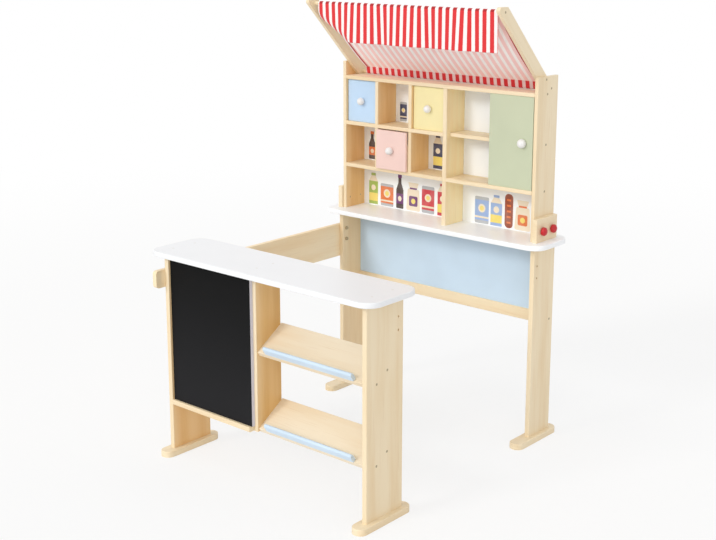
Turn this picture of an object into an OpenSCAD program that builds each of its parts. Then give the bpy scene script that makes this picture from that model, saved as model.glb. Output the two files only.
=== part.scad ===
// Toy market stall: a sales counter and a shelf unit with an awning, joined by one side rail.
// Frame: origin on the floor at the middle of the stall, X to the customer's right,
// -Y towards the customer, Z up, all sizes in millimetres.

/* [Overall] */
// Width over the outer faces of the uprights
stall_w = 760; // [700:5:860]
// Clear distance from the counter's uprights back to the shelf's legs
aisle = 607; // [450:1:750]

/* [Boards] */
// Thickness of the uprights, ledge, slanted shelves, rails and main divider
board_t = 15; // [13:0.5:18]
// Thickness of the cabinet's sides, shelves and column dividers
panel_t = 12; // [11:0.5:15]
// Thickness of the cabinet's printed back
back_t = 4; // [3:0.5:6]
// Thickness of the apron panel
apron_t = 6; // [4:0.5:9]
// Rounding of the boards' long edges
edge_r = 2; // [0.5:0.5:3]
// Rounding of the rims of the feet and the white tops
rim_r = 3; // [1:0.5:5]

/* [Feet and uprights] */
// Length of a foot, front to back
foot_l = 210; // [195:1:260]
// Width of a foot
foot_w = 45; // [32:1:60]
// Thickness of a foot
foot_t = 18; // [14:1:24]
// How far a foot reaches behind its upright
foot_back = 28; // [10:1:35]
// Height of an upright above its foot
upright_h = 587; // [520:1:660]
// Depth of a counter upright
counter_leg_d = 145; // [125:1:155]
// Depth of a shelf leg
shelf_leg_d = 110; // [105:1:140]

/* [White tops] */
// Thickness of the two white tops
top_t = 15; // [12:0.5:20]
// Overhang of a top past the uprights, each side
top_side = 38; // [28:1:50]
// Overhang of a top behind its uprights
top_back = 28; // [20:1:35]
// Overhang of the counter top in front of its uprights
counter_top_front = 32; // [20:1:36]
// Overhang of the shelf top in front of its legs
shelf_top_front = 40; // [20:1:60]
// Corner radius of the tops
top_corner_r = 45; // [10:1:60]

/* [Counter bays] */
// Clear width of the bay behind the blackboard
board_bay_w = 320; // [240:1:380]
// Depth of the middle divider
divider_d = 96; // [85:1:110]
// Thickness of the blackboard
blackboard_t = 10; // [6:0.5:14]
// Setback of the blackboard from the uprights' front edges
blackboard_inset = 8; // [0:1:14]
// How far the blackboard covers the divider's front edge
blackboard_lap = 4; // [1:0.5:8]
// Height of the ledge's underside above the floor
ledge_z = 155; // [120:1:200]
// Tilt of the slanted shelves
display_tilt = 33; // [20:1:38]
// Depth of a slanted shelf, along its slope
display_l = 114; // [95:1:118]
// Height of the upper slanted shelf's front edge above the floor
display_z = 386; // [370:1:440]
// Height from one slanted shelf to the next
display_pitch = 222; // [190:1:230]
// Height of a stop strip above its shelf
strip_h = 23; // [12:1:34]
// Thickness of a stop strip
strip_t = 11; // [6:1:16]
// Gap from the divider to a stop strip
strip_gap = 30; // [4:1:50]
// Gap from a stop strip to the right upright
strip_end_gap = 48; // [10:1:80]

/* [Connecting rail] */
// Height of the rail between the two units
rail_h = 107; // [90:1:140]
// Distance from the tops' underside down to the rail's top edge
rail_drop = 44; // [25:1:80]
// Height of the rail's narrow tongue along the counter
tongue_h = 51; // [46:1:65]
// How far the tongue's nose stands out in front of the counter
nose_out = 32; // [10:1:36]
// How far the rail laps over the shelf leg
rail_lap = 40; // [32:1:60]
// Spacing of the two rail bolts at each end
rail_pitch = 36; // [30:1:38]
// Distance from the rail's top edge to the upper bolt
rail_bolt_drop = 13; // [10:0.5:16]
// Distance from the counter upright's rear edge to the rail bolts
counter_bolt_inset = 20; // [14:1:24]
// Distance from the shelf leg's front edge to the rail bolts
shelf_bolt_inset = 16; // [12:1:24]
// Diameter of a rail bolt
bolt_d = 6; // [5:0.5:8]

/* [Cabinet] */
// Distance from the legs' outer faces in to the cabinet's sides
cab_inset = 10; // [4:1:16]
// Depth of the cabinet
cab_d = 105; // [98:1:125]
// Height of the cabinet
cab_h = 480; // [470:1:540]
// Distance from the legs' front edges back to the cabinet's
cab_setback = 8; // [0:1:20]
// Depth from the cabinet's rear edges in to its back
back_inset = 9; // [4:0.5:14]
// How far the cabinet's back sits in the rabbet of each side
back_rabbet = 6; // [3:0.5:8]
// Height of the sides above the top shelf
side_rise = 45; // [40:1:70]
// Clear width of the section with the drawers
drawer_bay_w = 391; // [360:1:420]
// Clear height of the open bays on the white top
open_bay_h = 138; // [115:1:145]
// Clear height of the lower row of compartments
low_row_h = 126; // [112:1:132]
// Setback of the shelf behind the sliding door
mid_setback = 18; // [17:1:30]
// Height of the apron's rail above the floor
apron_rail_z = 352; // [300:1:420]
// Height of the apron's rail
apron_rail_h = 36; // [25:1:60]
// Distance from the legs' rear edges to the apron's rail
apron_inset = 11; // [4:1:20]

/* [Drawers] */
// Play beside a drawer, each side
drawer_play = 1; // [0.5:0.1:2]
// Play above a drawer front
drawer_top_play = 2; // [1:0.1:4]
// Running gap under a drawer
run_gap = 0.3; // [0.2:0.05:0.5]
// Thickness of a drawer front
drawer_front_t = 10; // [8:0.5:14]
// Thickness of a drawer's sides and back
drawer_wall = 6; // [4:0.5:9]
// Thickness of a drawer's floor
drawer_floor = 4; // [3:0.5:6]
// Height of the sides of a drawer in the lower row
drawer_wall_h = 85; // [50:1:95]
// Setback of a closed drawer's front
drawer_recess = 10; // [4:0.5:14]
// How far the middle drawer stands open
drawer_pull = 20; // [0:1:30]

/* [Sliding door] */
// Width of the sliding door
door_w = 152; // [120:1:154]
// Thickness of the sliding door
door_t = 6; // [4:0.5:7]
// Gap from the closed door to the right side
door_gap = 4; // [3:1:30]
// Play of the door in its grooves, each face
door_play = 0.5; // [0.3:0.1:0.8]
// Wood left in front of a groove
groove_lip = 4; // [3:0.5:5]
// Depth of the lower groove
low_groove = 3; // [2:0.5:4]
// Depth of the upper groove
high_groove = 7; // [6:0.5:8]

/* [Knobs] */
// Diameter of a drawer knob
knob_d = 24; // [18:1:30]
// Height of a drawer knob
knob_h = 20; // [15:1:24]
// Diameter of the door knob
door_knob_d = 27; // [20:1:32]
// Distance from the door's right edge to its knob
door_knob_inset = 34; // [18:1:45]
// Diameter of a knob's spigot
spigot_d = 6; // [4:0.5:8]
// Diameter of a red hand screw's head
clamp_d = 25; // [20:1:32]
// Height of a red hand screw's head
clamp_h = 16; // [12:1:22]
// Diameter of a hand screw's shank
clamp_shank_d = 6; // [5:0.5:8]
// Spacing of the two hand screws on a joining plate
clamp_pitch = 52; // [40:1:64]
// Height of the hand screws above the white top
clamp_z = 32; // [22:1:44]
// Height of a joining plate
plate_h = 70; // [60:1:90]

/* [Awning] */
// Width of an awning arm
arm_w = 37; // [32:1:42]
// Thickness of an awning arm
arm_t = 12; // [9:0.5:15]
// Angle of the arms from the level
arm_tilt = 45; // [40:1:55]
// Height of the arm tips above the top shelf
arm_rise = 249; // [200:1:320]
// Rounding of the arms' sharp corners
arm_r = 9; // [3:0.5:11]
// Diameter of an awning rod
rod_d = 12; // [8:0.5:14]
// Height from the front rod up to the arms' ends
rod_inset = 14; // [13:0.5:18]
// Gap from the top shelf up to the rear rod
rear_rod_gap = 3; // [2.5:0.5:10]
// Gap from the left arm to the cloth
cloth_left_gap = 20; // [4:1:30]
// Gap from the cloth to the right arm
cloth_right_gap = 8; // [4:1:30]
// Thickness of the awning cloth
cloth_t = 1; // [0.8:0.1:1.4]
// Drop of the valance below the front rod
valance_h = 112; // [90:1:140]
// Sag of the awning roof between its rods
roof_sag = 9; // [2:0.5:14]
// Depth of the valance's soft folds
fold_depth = 5; // [0:0.5:8]
// Radius of the curl in the valance's left corner
curl_r = 30; // [26:1:40]

/* [Screws] */
// Diameter of a screw's head
screw_head_d = 7; // [5:0.5:8]
// Height of a screw's head
screw_head_h = 2.4; // [1.5:0.1:3]
// Diameter of a screw's shank
screw_d = 3.5; // [2.5:0.5:4]
// How far a screw goes into the second board
screw_bite = 22; // [16:1:28]

/* [Hidden] */
$fn = 48;

// Clearances
slot_clear = 0.2;     // halved joints, in width
hole_clear = 0.1;     // screws and spigots in their holes, radial
shaft_clear = 0.05;   // hand screws in their bores, radial
bolt_clear = 0.25;    // rail bolts in their holes, radial
cloth_gap = 0.3;      // cloth round a rod
tip_clear = 1;        // past the end of a screw or spigot
face_gap = 0.3;       // under a hand screw's head
drawer_back_gap = 1;  // behind a closed drawer

// Colours
wood = "#e6cfa6";
wood_inner = "#d8b67f";
white = "#f2f2f4";
black = "#222224";
pale_blue = "#c6d8e6";
drawer_blue = "#c6e0fa";
drawer_yellow = "#faebb0";
drawer_pink = "#f6d5cb";
door_green = "#cbd4b4";
red = "#c8202a";
cloth_red = "#e85a58";
steel = "#b8bcc2";

// Widths from the middle of the stall
half_w = stall_w / 2;
leg_in = half_w - board_t;
cab_half = half_w - cab_inset;
cab_in = cab_half - panel_t;

// Depths from the middle of the stall's box
foot_front = foot_l - counter_leg_d - foot_back;
front_reach = max(foot_front, nose_out, counter_top_front);
back_reach = max(foot_back, top_back);
total_d = front_reach + counter_leg_d + aisle + shelf_leg_d + back_reach;
counter_y = front_reach - total_d / 2;
counter_back_y = counter_y + counter_leg_d;
shelf_y = counter_back_y + aisle;
shelf_back_y = shelf_y + shelf_leg_d;
cab_y = shelf_y + cab_setback;
cab_back_y = cab_y + cab_d;
back_y = cab_back_y - back_inset - back_t;
shelf_depth = back_y - cab_y;

// Heights from the floor
top_z = foot_t + upright_h;
deck_z = top_z + top_t;
cab_top_z = deck_z + cab_h;
low_shelf_z = deck_z + open_bay_h;
row_shelf_z = low_shelf_z + panel_t + low_row_h;
top_shelf_z = cab_top_z - side_rise - panel_t;
low_floor_z = low_shelf_z + panel_t;
high_floor_z = row_shelf_z + panel_t;
high_row_h = top_shelf_z - high_floor_z;
arm_z = top_shelf_z + panel_t;
rail_top_z = top_z - rail_drop;
rail_low_z = rail_top_z - rail_h;
apron_z = apron_rail_z + apron_rail_h;
apron_rail_y = shelf_back_y - apron_inset - board_t;
apron_y = apron_rail_y + (board_t - apron_t) / 2;

// Counter bays
bay_x = -leg_in + board_bay_w;
divider_right = bay_x + board_t;
blackboard_y = counter_y + blackboard_inset;
divider_y = blackboard_y + blackboard_t;
display_w = leg_in - divider_right;
strip_l = display_w - strip_gap - strip_end_gap;
display_y = divider_y + board_t * sin(display_tilt) / 2;
ledge_top_z = ledge_z + board_t;

// Cabinet sections
main_x = -cab_in + drawer_bay_w;
main_right = main_x + board_t;
door_bay_w = cab_in - main_right;
column_w = (drawer_bay_w - 2 * panel_t) / 3;
column_step = column_w + panel_t;
mid_y = cab_y + shelf_depth / 2;
door_y = cab_y + groove_lip + door_play;
groove_w = door_t + 2 * door_play;
door_x = cab_in - door_gap - door_w;
door_z = low_floor_z - low_groove + run_gap;
door_h = top_shelf_z + (high_groove - low_groove) / 2 + run_gap - door_z;
door_knob_x = door_x + door_w - door_knob_inset;

// Drawers
drawer_w = column_w - 2 * drawer_play;
drawer_l = shelf_depth - drawer_recess - drawer_back_gap;
drawer_box_l = drawer_l - drawer_front_t;
drawer_rim_drop = low_row_h - drawer_wall_h;

// Rail bolts
bolt_zs = [rail_top_z - rail_bolt_drop, rail_top_z - rail_bolt_drop - rail_pitch];
counter_bolt_y = counter_back_y - counter_bolt_inset;
shelf_bolt_y = shelf_y + shelf_bolt_inset;
bolt_ys = [counter_bolt_y, shelf_bolt_y];
bolt_head_h = 3.5;
bolt_head_d = bolt_d * 2.2;
nut_d = bolt_d * 1.9;
nut_h = bolt_d;
rail_corner_r = 10;
rail_step_gap = 10;    // from the counter's rear to the rail's step

// Joining plates and hand screws
plate_x = cab_half;
clamp_ys = [for (k = [-1, 1]) shelf_y + shelf_leg_d / 2 + k * clamp_pitch / 2];
clamp_axis_z = deck_z + clamp_z;
clamp_reach = board_t + panel_t - 1;
dowel_d = 8;
dowel_l = 20;
dowel_inset = 14;

// Awning
arm_run = arm_rise / tan(arm_tilt);
arm_level_w = arm_w / sin(arm_tilt);
arm_foot_y = cab_back_y - arm_level_w / 2;
arm_tip_y = arm_foot_y - arm_run;
rear_rod_rise = rod_d / 2 + rear_rod_gap;
rear_rod_y = arm_foot_y - rear_rod_rise / tan(arm_tilt);
front_rod_y = arm_tip_y + rod_inset / tan(arm_tilt);
rear_rod_z = arm_z + rear_rod_rise;
front_rod_z = arm_z + arm_rise - rod_inset;
arm_in = cab_in - arm_t;
arm_screw_z = 2.6 * rod_inset;
cloth_w = 2 * arm_in - cloth_left_gap - cloth_right_gap;

// Screws: [point on the face, outward direction, length]
side_screw_share = 0.54;
counter_top_screws = concat(
    [for (s = [-1, 1], y = [0.2, 0.76])
        [[s * (half_w - board_t / 2), counter_y + y * counter_leg_d, deck_z], "z", top_t + screw_bite]],
    [for (y = [0.15, 0.8])
        [[bay_x + board_t / 2, divider_y + y * divider_d, deck_z], "z", top_t + screw_bite]]);
display_screws = concat(
    [for (k = [0, 1], d = [0.14, 0.58])
        [concat(half_w, display_point(k, d * display_l)), "x", board_t + screw_bite]],
    [for (k = [0, 1], d = [0.28, 0.66])
        [concat(bay_x, display_point(k, d * display_l)), "-x", board_t + screw_bite]]);
ledge_screws = concat(
    [for (y = [0.3, 0.75])
        [[-half_w, divider_y + y * divider_d, ledge_z + board_t / 2], "-x", board_t + screw_bite]],
    [[[divider_right, divider_y + 0.75 * divider_d, ledge_z + board_t / 2], "x", board_t + screw_bite]]);
counter_foot_screws = [for (s = [-1, 1], y = [0.25, 0.75])
    [[s * (half_w - board_t / 2), counter_y + y * counter_leg_d, 0], "-z", foot_t + screw_bite]];
counter_screw_list = concat(counter_top_screws, display_screws, ledge_screws, counter_foot_screws);

shelf_foot_screws = [for (s = [-1, 1], y = [0.25, 0.75])
    [[s * (half_w - board_t / 2), shelf_y + y * shelf_leg_d, 0], "-z", foot_t + screw_bite]];
apron_screws = [for (s = [-1, 1])
    [[s * half_w, apron_rail_y + board_t / 2, apron_rail_z + apron_rail_h / 2],
        s > 0 ? "x" : "-x", board_t + screw_bite]];
shelf_top_screws = [for (s = [-1, 1], y = [0.25, 0.75])
    [[s * (half_w - board_t / 2), shelf_y + y * shelf_leg_d, deck_z], "z", top_t + screw_bite]];
base_screw_list = concat(shelf_foot_screws, shelf_top_screws, apron_screws);

side_screws = [for (s = [-1, 1], z = [top_shelf_z, row_shelf_z, low_shelf_z])
    [[s * cab_half, cab_y + side_screw_share * shelf_depth, z + panel_t / 2],
        s > 0 ? "x" : "-x", panel_t + screw_bite]];
divider_screws = [for (y = [0.25, 0.7])
    [[main_x + board_t / 2, cab_y + y * shelf_depth, arm_z], "z", panel_t + screw_bite]];
arm_screws = [for (s = [-1, 1])
    [[s * cab_half, arm_foot_y - arm_screw_z / tan(arm_tilt), arm_z + arm_screw_z],
        s > 0 ? "x" : "-x", panel_t + arm_t - tip_clear * 2]];
rear_rod_screws = [for (s = [-1, 1])
    [[s * cab_half, rear_rod_y, rear_rod_z], s > 0 ? "x" : "-x", panel_t + arm_t + screw_bite]];
front_rod_screws = [for (s = [-1, 1])
    [[s * cab_in, front_rod_y, front_rod_z], s > 0 ? "x" : "-x", arm_t + screw_bite]];
cabinet_screw_list = concat(side_screws, divider_screws);
awning_screw_list = concat(arm_screws, rear_rod_screws, front_rod_screws);

// A point on the middle plane of slanted shelf k, a distance s up its slope, as [y, z]
function display_point(k, s) =
    let (z0 = display_z - k * display_pitch)
    [display_y + s * cos(display_tilt) + board_t / 2 * sin(display_tilt),
        z0 + s * sin(display_tilt) - board_t / 2 * cos(display_tilt)];

// Rectangle with rounded corners, centred
module round_rect(w, d, r) {
    square([w - 2 * r, d], center = true);
    square([w, d - 2 * r], center = true);
    for (x = [-1, 1], y = [-1, 1])
        translate([x * (w / 2 - r), y * (d / 2 - r)])
            circle(r);
}

// Board from a low corner and a size, its long edges along one axis rounded
module board(p, s, axis, r = edge_r) {
    if (axis == "x")
        translate(p + [0, s.y / 2, s.z / 2])
            rotate([90, 0, 90])
                linear_extrude(s.x)
                    round_rect(s.y, s.z, r);
    if (axis == "z")
        translate(p + [s.x / 2, s.y / 2, 0])
            linear_extrude(s.z)
                round_rect(s.x, s.y, r);
}

// Plain block from a low corner and a size
module block(p, s) {
    translate(p)
        cube(s);
}

// Turns +Z to an outward direction at a point
module facing(p, dir) {
    turn = dir == "x" ? [0, 90, 0] : dir == "-x" ? [0, -90, 0] : dir == "-z" ? [180, 0, 0] : [0, 0, 0];
    translate(p)
        rotate(turn)
            children();
}

// Flat-headed screw, its head flush with the face it is driven through
module screw(s) {
    facing(s[0], s[1]) {
        translate([0, 0, -screw_head_h])
            cylinder(d = screw_head_d, h = screw_head_h);
        translate([0, 0, -s[2]])
            cylinder(d = screw_d, h = s[2]);
    }
}

// Hole and head seat for a screw
module screw_hole(s) {
    facing(s[0], s[1]) {
        translate([0, 0, -screw_head_h])
            cylinder(d = screw_head_d + 2 * hole_clear, h = screw_head_h + 1);
        translate([0, 0, -s[2] - tip_clear])
            cylinder(d = screw_d + 2 * hole_clear, h = s[2]);
    }
}

// Piece with the holes of a list of screws
module drilled(list) {
    difference() {
        children();
        for (s = list)
            screw_hole(s);
    }
}

// Turned ball knob on a short neck and a spigot, standing on the XY plane and pointing up
module knob(d, h, spigot_l) {
    neck_r = d * 0.3;
    neck_h = 2;
    rotate_extrude()
        union() {
            square([neck_r, neck_h + 1]);
            intersection() {
                translate([0, h - d / 2])
                    circle(d / 2);
                translate([0, neck_h])
                    square([d, h]);
            }
        }
    translate([0, 0, -spigot_l])
        cylinder(d = spigot_d, h = spigot_l + neck_h);
}

// Section of a slab from its core out to its rounded rim, X outwards and Y up
module rim_section(w, t, low_r) {
    square([w - rim_r, t]);
    translate([0, low_r])
        square([w, t - rim_r - low_r]);
    translate([w - rim_r, t - rim_r])
        circle(rim_r);
    if (low_r > 0)
        translate([w - low_r, low_r])
            circle(low_r);
}

// Foot with half-round ends and a rounded upper rim
module foot(s, front_y) {
    straight = foot_l - foot_w;
    translate([s * (half_w - board_t / 2), front_y + foot_l / 2, 0])
        for (k = [0, 180])
            rotate([0, 0, k]) {
                translate([0, straight / 2, 0])
                    rotate_extrude(angle = 180)
                        rim_section(foot_w / 2, foot_t, 0);
                translate([0, straight / 2, 0])
                    rotate([90, 0, 0])
                        linear_extrude(straight)
                            rim_section(foot_w / 2, foot_t, 0);
            }
}

// Holes for the rail's two bolts through an upright at one depth
module rail_bolt_holes(s, y) {
    for (z = bolt_zs)
        translate([s * (half_w - board_t / 2), y, z])
            rotate([0, 90, 0])
                cylinder(d = bolt_d + 2 * bolt_clear, h = 3 * board_t + 2, center = true);
}

module counter_foot(s) {
    color(wood)
        drilled(counter_foot_screws)
            foot(s, counter_back_y + foot_back - foot_l);
}

module counter_upright(s) {
    color(wood)
        drilled(counter_screw_list)
            difference() {
                board([s > 0 ? leg_in : -half_w, counter_y, foot_t],
                    [board_t, counter_leg_d, upright_h], "z");
                rail_bolt_holes(s, counter_bolt_y);
            }
}

// White top with round corners and rounded rims over a pair of uprights
module white_top(front_y, rear_y) {
    core_w = stall_w + 2 * top_side - 2 * top_corner_r;
    core_d = rear_y - front_y - 2 * top_corner_r;
    translate([0, (front_y + rear_y) / 2, top_z]) {
        translate([-core_w / 2, -core_d / 2, 0])
            cube([core_w, core_d, top_t]);
        for (k = [0 : 3])
            let (run = k % 2 == 0 ? core_d : core_w, out = k % 2 == 0 ? core_w : core_d)
                rotate([0, 0, 90 * k])
                    translate([out / 2, run / 2, 0]) {
                        rotate_extrude(angle = 90)
                            rim_section(top_corner_r, top_t, rim_r);
                        rotate([90, 0, 0])
                            linear_extrude(run)
                                rim_section(top_corner_r, top_t, rim_r);
                    }
    }
}

module counter_top() {
    color(white)
        drilled(counter_top_screws)
            white_top(counter_y - counter_top_front, counter_back_y + top_back);
}

module counter_divider() {
    color(wood)
        drilled(concat(counter_top_screws, display_screws, ledge_screws))
            board([bay_x, divider_y, ledge_z], [board_t, divider_d, top_z - ledge_z], "z");
}

module blackboard() {
    color(black)
        block([-leg_in, blackboard_y, ledge_top_z],
            [board_bay_w + blackboard_lap, blackboard_t, top_z - ledge_top_z]);
}

module blackboard_ledge() {
    color(wood)
        drilled(ledge_screws)
            board([-leg_in, counter_y, ledge_z],
                [board_bay_w, divider_y - counter_y + divider_d, board_t], "x");
}

// Places children at the front top edge of slanted shelf k, Y up the slope
module on_slope(k) {
    translate([divider_right, display_y, display_z - k * display_pitch])
        rotate([display_tilt, 0, 0])
            children();
}

module display_shelf(k) {
    color(wood)
        drilled(display_screws)
            on_slope(k)
                board([0, 0, -board_t], [display_w, display_l, board_t], "x");
}

// Stop strip with a rounded top along the front of a slanted shelf
module stop_strip(k) {
    color(pale_blue)
        on_slope(k)
            translate([strip_gap, strip_t / 2, 0])
                rotate([90, 0, 90])
                    linear_extrude(strip_l) {
                        translate([-strip_t / 2, 0])
                            square([strip_t, strip_h - strip_t / 2]);
                        translate([0, strip_h - strip_t / 2])
                            circle(strip_t / 2);
                    }
}

// Side outline of the connecting rail, Y across and Z up
module rail_outline() {
    step_h = rail_h - tongue_h;
    bend_r = step_h / 2;
    tongue_z = rail_top_z - tongue_h;
    step_y = counter_back_y + rail_step_gap;
    end_y = shelf_y + rail_lap;
    nose_y = counter_y - nose_out;
    difference() {
        union() {
            translate([(nose_y + end_y) / 2, rail_top_z - tongue_h / 2])
                round_rect(end_y - nose_y, tongue_h, rail_corner_r);
            translate([(step_y + bend_r + end_y) / 2, rail_top_z - rail_h / 2])
                round_rect(end_y - step_y - bend_r, rail_h, bend_r);
            translate([step_y, tongue_z - bend_r])
                square([2 * bend_r, bend_r + tongue_h / 2]);
            translate([end_y - 2 * bend_r, rail_low_z])
                square([2 * bend_r - rail_corner_r, rail_h - rail_corner_r]);
            translate([end_y - 2 * rail_corner_r, rail_low_z + rail_corner_r])
                square([2 * rail_corner_r, rail_h - 2 * rail_corner_r]);
            for (z = [rail_low_z + rail_corner_r, rail_top_z - rail_corner_r])
                translate([end_y - rail_corner_r, z])
                    circle(rail_corner_r);
            translate([end_y - 2 * bend_r, rail_top_z - bend_r])
                square([2 * bend_r - rail_corner_r, bend_r]);
        }
        translate([step_y, tongue_z - bend_r])
            circle(bend_r);
    }
}

module connecting_rail() {
    color(wood)
        difference() {
            translate([-half_w - board_t, 0, 0])
                rotate([90, 0, 90])
                    linear_extrude(board_t)
                        rail_outline();
            for (y = bolt_ys)
                rail_bolt_holes(-1, y);
        }
}

module rail_bolts() {
    color(steel)
        for (y = bolt_ys, z = bolt_zs)
            translate([-half_w - board_t, y, z])
                rotate([0, 90, 0]) {
                    translate([0, 0, -bolt_head_h])
                        cylinder(d = bolt_head_d, h = bolt_head_h);
                    cylinder(d = bolt_d, h = 2 * board_t + nut_h * 0.6);
                }
}

// Cap nuts on the inner faces of the left uprights
module rail_nuts() {
    color(steel)
        for (y = bolt_ys, z = bolt_zs)
            translate([-leg_in, y, z])
                rotate([0, 90, 0])
                    difference() {
                        union() {
                            cylinder(d = nut_d, h = nut_h * 0.5);
                            intersection() {
                                translate([0, 0, nut_h * 0.5])
                                    sphere(d = nut_d * 0.9);
                                cylinder(d = nut_d, h = nut_h * 2);
                            }
                        }
                        translate([0, 0, -1])
                            cylinder(d = bolt_d + 2 * shaft_clear, h = nut_h * 0.6 + 1.2);
                    }
}

module shelf_foot(s) {
    color(wood)
        drilled(shelf_foot_screws)
            foot(s, shelf_back_y + foot_back - foot_l);
}

module shelf_leg(s) {
    color(wood)
        drilled(base_screw_list)
            difference() {
                board([s > 0 ? leg_in : -half_w, shelf_y, foot_t],
                    [board_t, shelf_leg_d, upright_h], "z");
                rail_bolt_holes(s, shelf_bolt_y);
            }
}

// Dowel holes or dowels between the joining plates and the shelf top
module dowels(gap) {
    for (s = [-1, 1], y = [shelf_y + dowel_inset, shelf_back_y - dowel_inset])
        translate([s * (plate_x + board_t / 2), y, deck_z])
            cylinder(d = dowel_d + 2 * gap, h = dowel_l + 2 * gap, center = true);
}

module shelf_top() {
    color(white)
        drilled(shelf_top_screws)
            difference() {
                white_top(shelf_y - shelf_top_front, shelf_back_y + top_back);
                dowels(hole_clear);
            }
}

module plate_dowels() {
    color(wood_inner)
        dowels(0);
}

module apron_panel() {
    color(pale_blue)
        block([-leg_in, apron_y, apron_z], [2 * leg_in, apron_t, top_z - apron_z]);
}

module apron_rail() {
    color(wood)
        drilled(apron_screws)
            board([-leg_in, apron_rail_y, apron_rail_z], [2 * leg_in, board_t, apron_rail_h], "x");
}

// Bores for the hand screws of one side, through the plate and into the cabinet's side
module clamp_bores(s) {
    for (y = clamp_ys)
        translate([s * (plate_x + board_t / 2), y, clamp_axis_z])
            rotate([0, 90, 0])
                cylinder(d = clamp_shank_d + 2 * shaft_clear, h = board_t + 2 * panel_t + 2, center = true);
}

module joining_plate(s) {
    color(wood)
        difference() {
            board([s > 0 ? plate_x : -plate_x - board_t, shelf_y, deck_z],
                [board_t, shelf_leg_d, plate_h], "z");
            clamp_bores(s);
            dowels(hole_clear);
        }
}

// Red hand screw: domed head with a collar and a plain shank, its axis along X
module hand_screw(s, k) {
    collar_h = 3;
    color(red)
        translate([s * (plate_x + board_t), clamp_ys[k], clamp_axis_z])
            rotate([0, s * 90, 0]) {
                translate([0, 0, face_gap])
                    rotate_extrude()
                        union() {
                            square([clamp_d * 0.32, collar_h]);
                            translate([0, collar_h])
                                intersection() {
                                    translate([0, clamp_h - collar_h - clamp_d * 0.62])
                                        circle(clamp_d * 0.62);
                                    square([clamp_d / 2, clamp_h - collar_h]);
                                }
                        }
                translate([0, 0, -clamp_reach])
                    cylinder(d = clamp_shank_d, h = clamp_reach + face_gap + collar_h);
            }
}

module side_panel(s) {
    x = s > 0 ? cab_in : -cab_half;
    rabbet_x = s > 0 ? cab_in - 1 : -cab_in - back_rabbet;
    color(wood)
        drilled(concat(cabinet_screw_list, arm_screws, rear_rod_screws))
            difference() {
                board([x, cab_y, deck_z], [panel_t, cab_d, cab_h], "z");
                block([rabbet_x, back_y, deck_z - 1],
                    [back_rabbet + 1, cab_back_y - back_y + 1, arm_z - deck_z + 1]);
                clamp_bores(s);
            }
}

// Groove for the sliding door along a shelf's top or underside
module door_groove(z, h) {
    block([main_right, cab_y + groove_lip, z], [door_bay_w + 1, groove_w, h]);
}

module top_shelf() {
    color(wood)
        drilled(cabinet_screw_list)
            difference() {
                board([-cab_in, cab_y, top_shelf_z], [2 * cab_in, shelf_depth, panel_t], "x");
                door_groove(top_shelf_z - 1, high_groove + 1);
            }
}

module main_divider() {
    color(wood)
        drilled(divider_screws)
            board([main_x, cab_y, deck_z], [board_t, shelf_depth, top_shelf_z - deck_z], "z");
}

// Column divider, slotted from its front edge to halve over the row shelf
module column_divider(k) {
    x = -cab_in + k * column_step - panel_t;
    color(wood_inner)
        difference() {
            board([x, cab_y, low_floor_z], [panel_t, shelf_depth, top_shelf_z - low_floor_z], "z");
            block([x - 1, cab_y - 1, row_shelf_z - slot_clear / 2],
                [panel_t + 2, shelf_depth / 2 + 1, panel_t + slot_clear]);
        }
}

// Shelf between the two rows, slotted from its rear edge for the column dividers
module row_shelf() {
    color(wood)
        drilled(side_screws)
            difference() {
                board([-cab_in, cab_y, row_shelf_z], [drawer_bay_w, shelf_depth, panel_t], "x");
                for (k = [1, 2])
                    block([-cab_in + k * column_step - panel_t - slot_clear / 2, mid_y, row_shelf_z - 1],
                        [panel_t + slot_clear, shelf_depth, panel_t + 2]);
            }
}

module low_shelf_left() {
    color(wood)
        drilled(side_screws)
            board([-cab_in, cab_y, low_shelf_z], [drawer_bay_w, shelf_depth, panel_t], "x");
}

module low_shelf_right() {
    color(wood)
        drilled(side_screws)
            difference() {
                board([main_right, cab_y, low_shelf_z], [door_bay_w, shelf_depth, panel_t], "x");
                door_groove(low_floor_z - low_groove, low_groove + 1);
            }
}

module door_bay_shelf() {
    color(wood)
        drilled(side_screws)
            board([main_right, cab_y + mid_setback, row_shelf_z],
                [door_bay_w, shelf_depth - mid_setback, panel_t], "x");
}

module back_panel() {
    color(white)
        block([-cab_in - back_rabbet, back_y, deck_z],
            [2 * (cab_in + back_rabbet), back_t, arm_z - deck_z]);
}

// Low corner of a drawer in column c: row height and how far it stands open
function drawer_corner(c, z, pull) =
    [-cab_in + c * column_step + drawer_play, cab_y + drawer_recess - pull, z + run_gap];

// Hole for a knob's spigot through a board facing the customer
module spigot_hole(x, y, z, t) {
    translate([x, y - 1, z])
        rotate([-90, 0, 0])
            cylinder(d = spigot_d + 2 * hole_clear, h = t + 2);
}

module drawer_front(p, row_h, tint) {
    h = row_h - run_gap - drawer_top_play;
    color(tint)
        difference() {
            board(p, [drawer_w, drawer_front_t, h], "z");
            spigot_hole(p.x + drawer_w / 2, p.y, p.z + h / 2, drawer_front_t);
        }
}

// Open box behind a drawer front
module drawer_box(p, row_h) {
    y = p.y + drawer_front_t;
    h = row_h - drawer_rim_drop;
    color(wood_inner)
        difference() {
            block([p.x, y, p.z], [drawer_w, drawer_box_l, h]);
            block([p.x + drawer_wall, y - 1, p.z + drawer_floor],
                [drawer_w - 2 * drawer_wall, drawer_box_l - drawer_wall + 1, h]);
        }
}

module drawer_knob(p, row_h) {
    h = row_h - run_gap - drawer_top_play;
    color(white)
        translate([p.x + drawer_w / 2, p.y, p.z + h / 2])
            rotate([90, 0, 0])
                knob(knob_d, knob_h, drawer_front_t - tip_clear);
}

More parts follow.
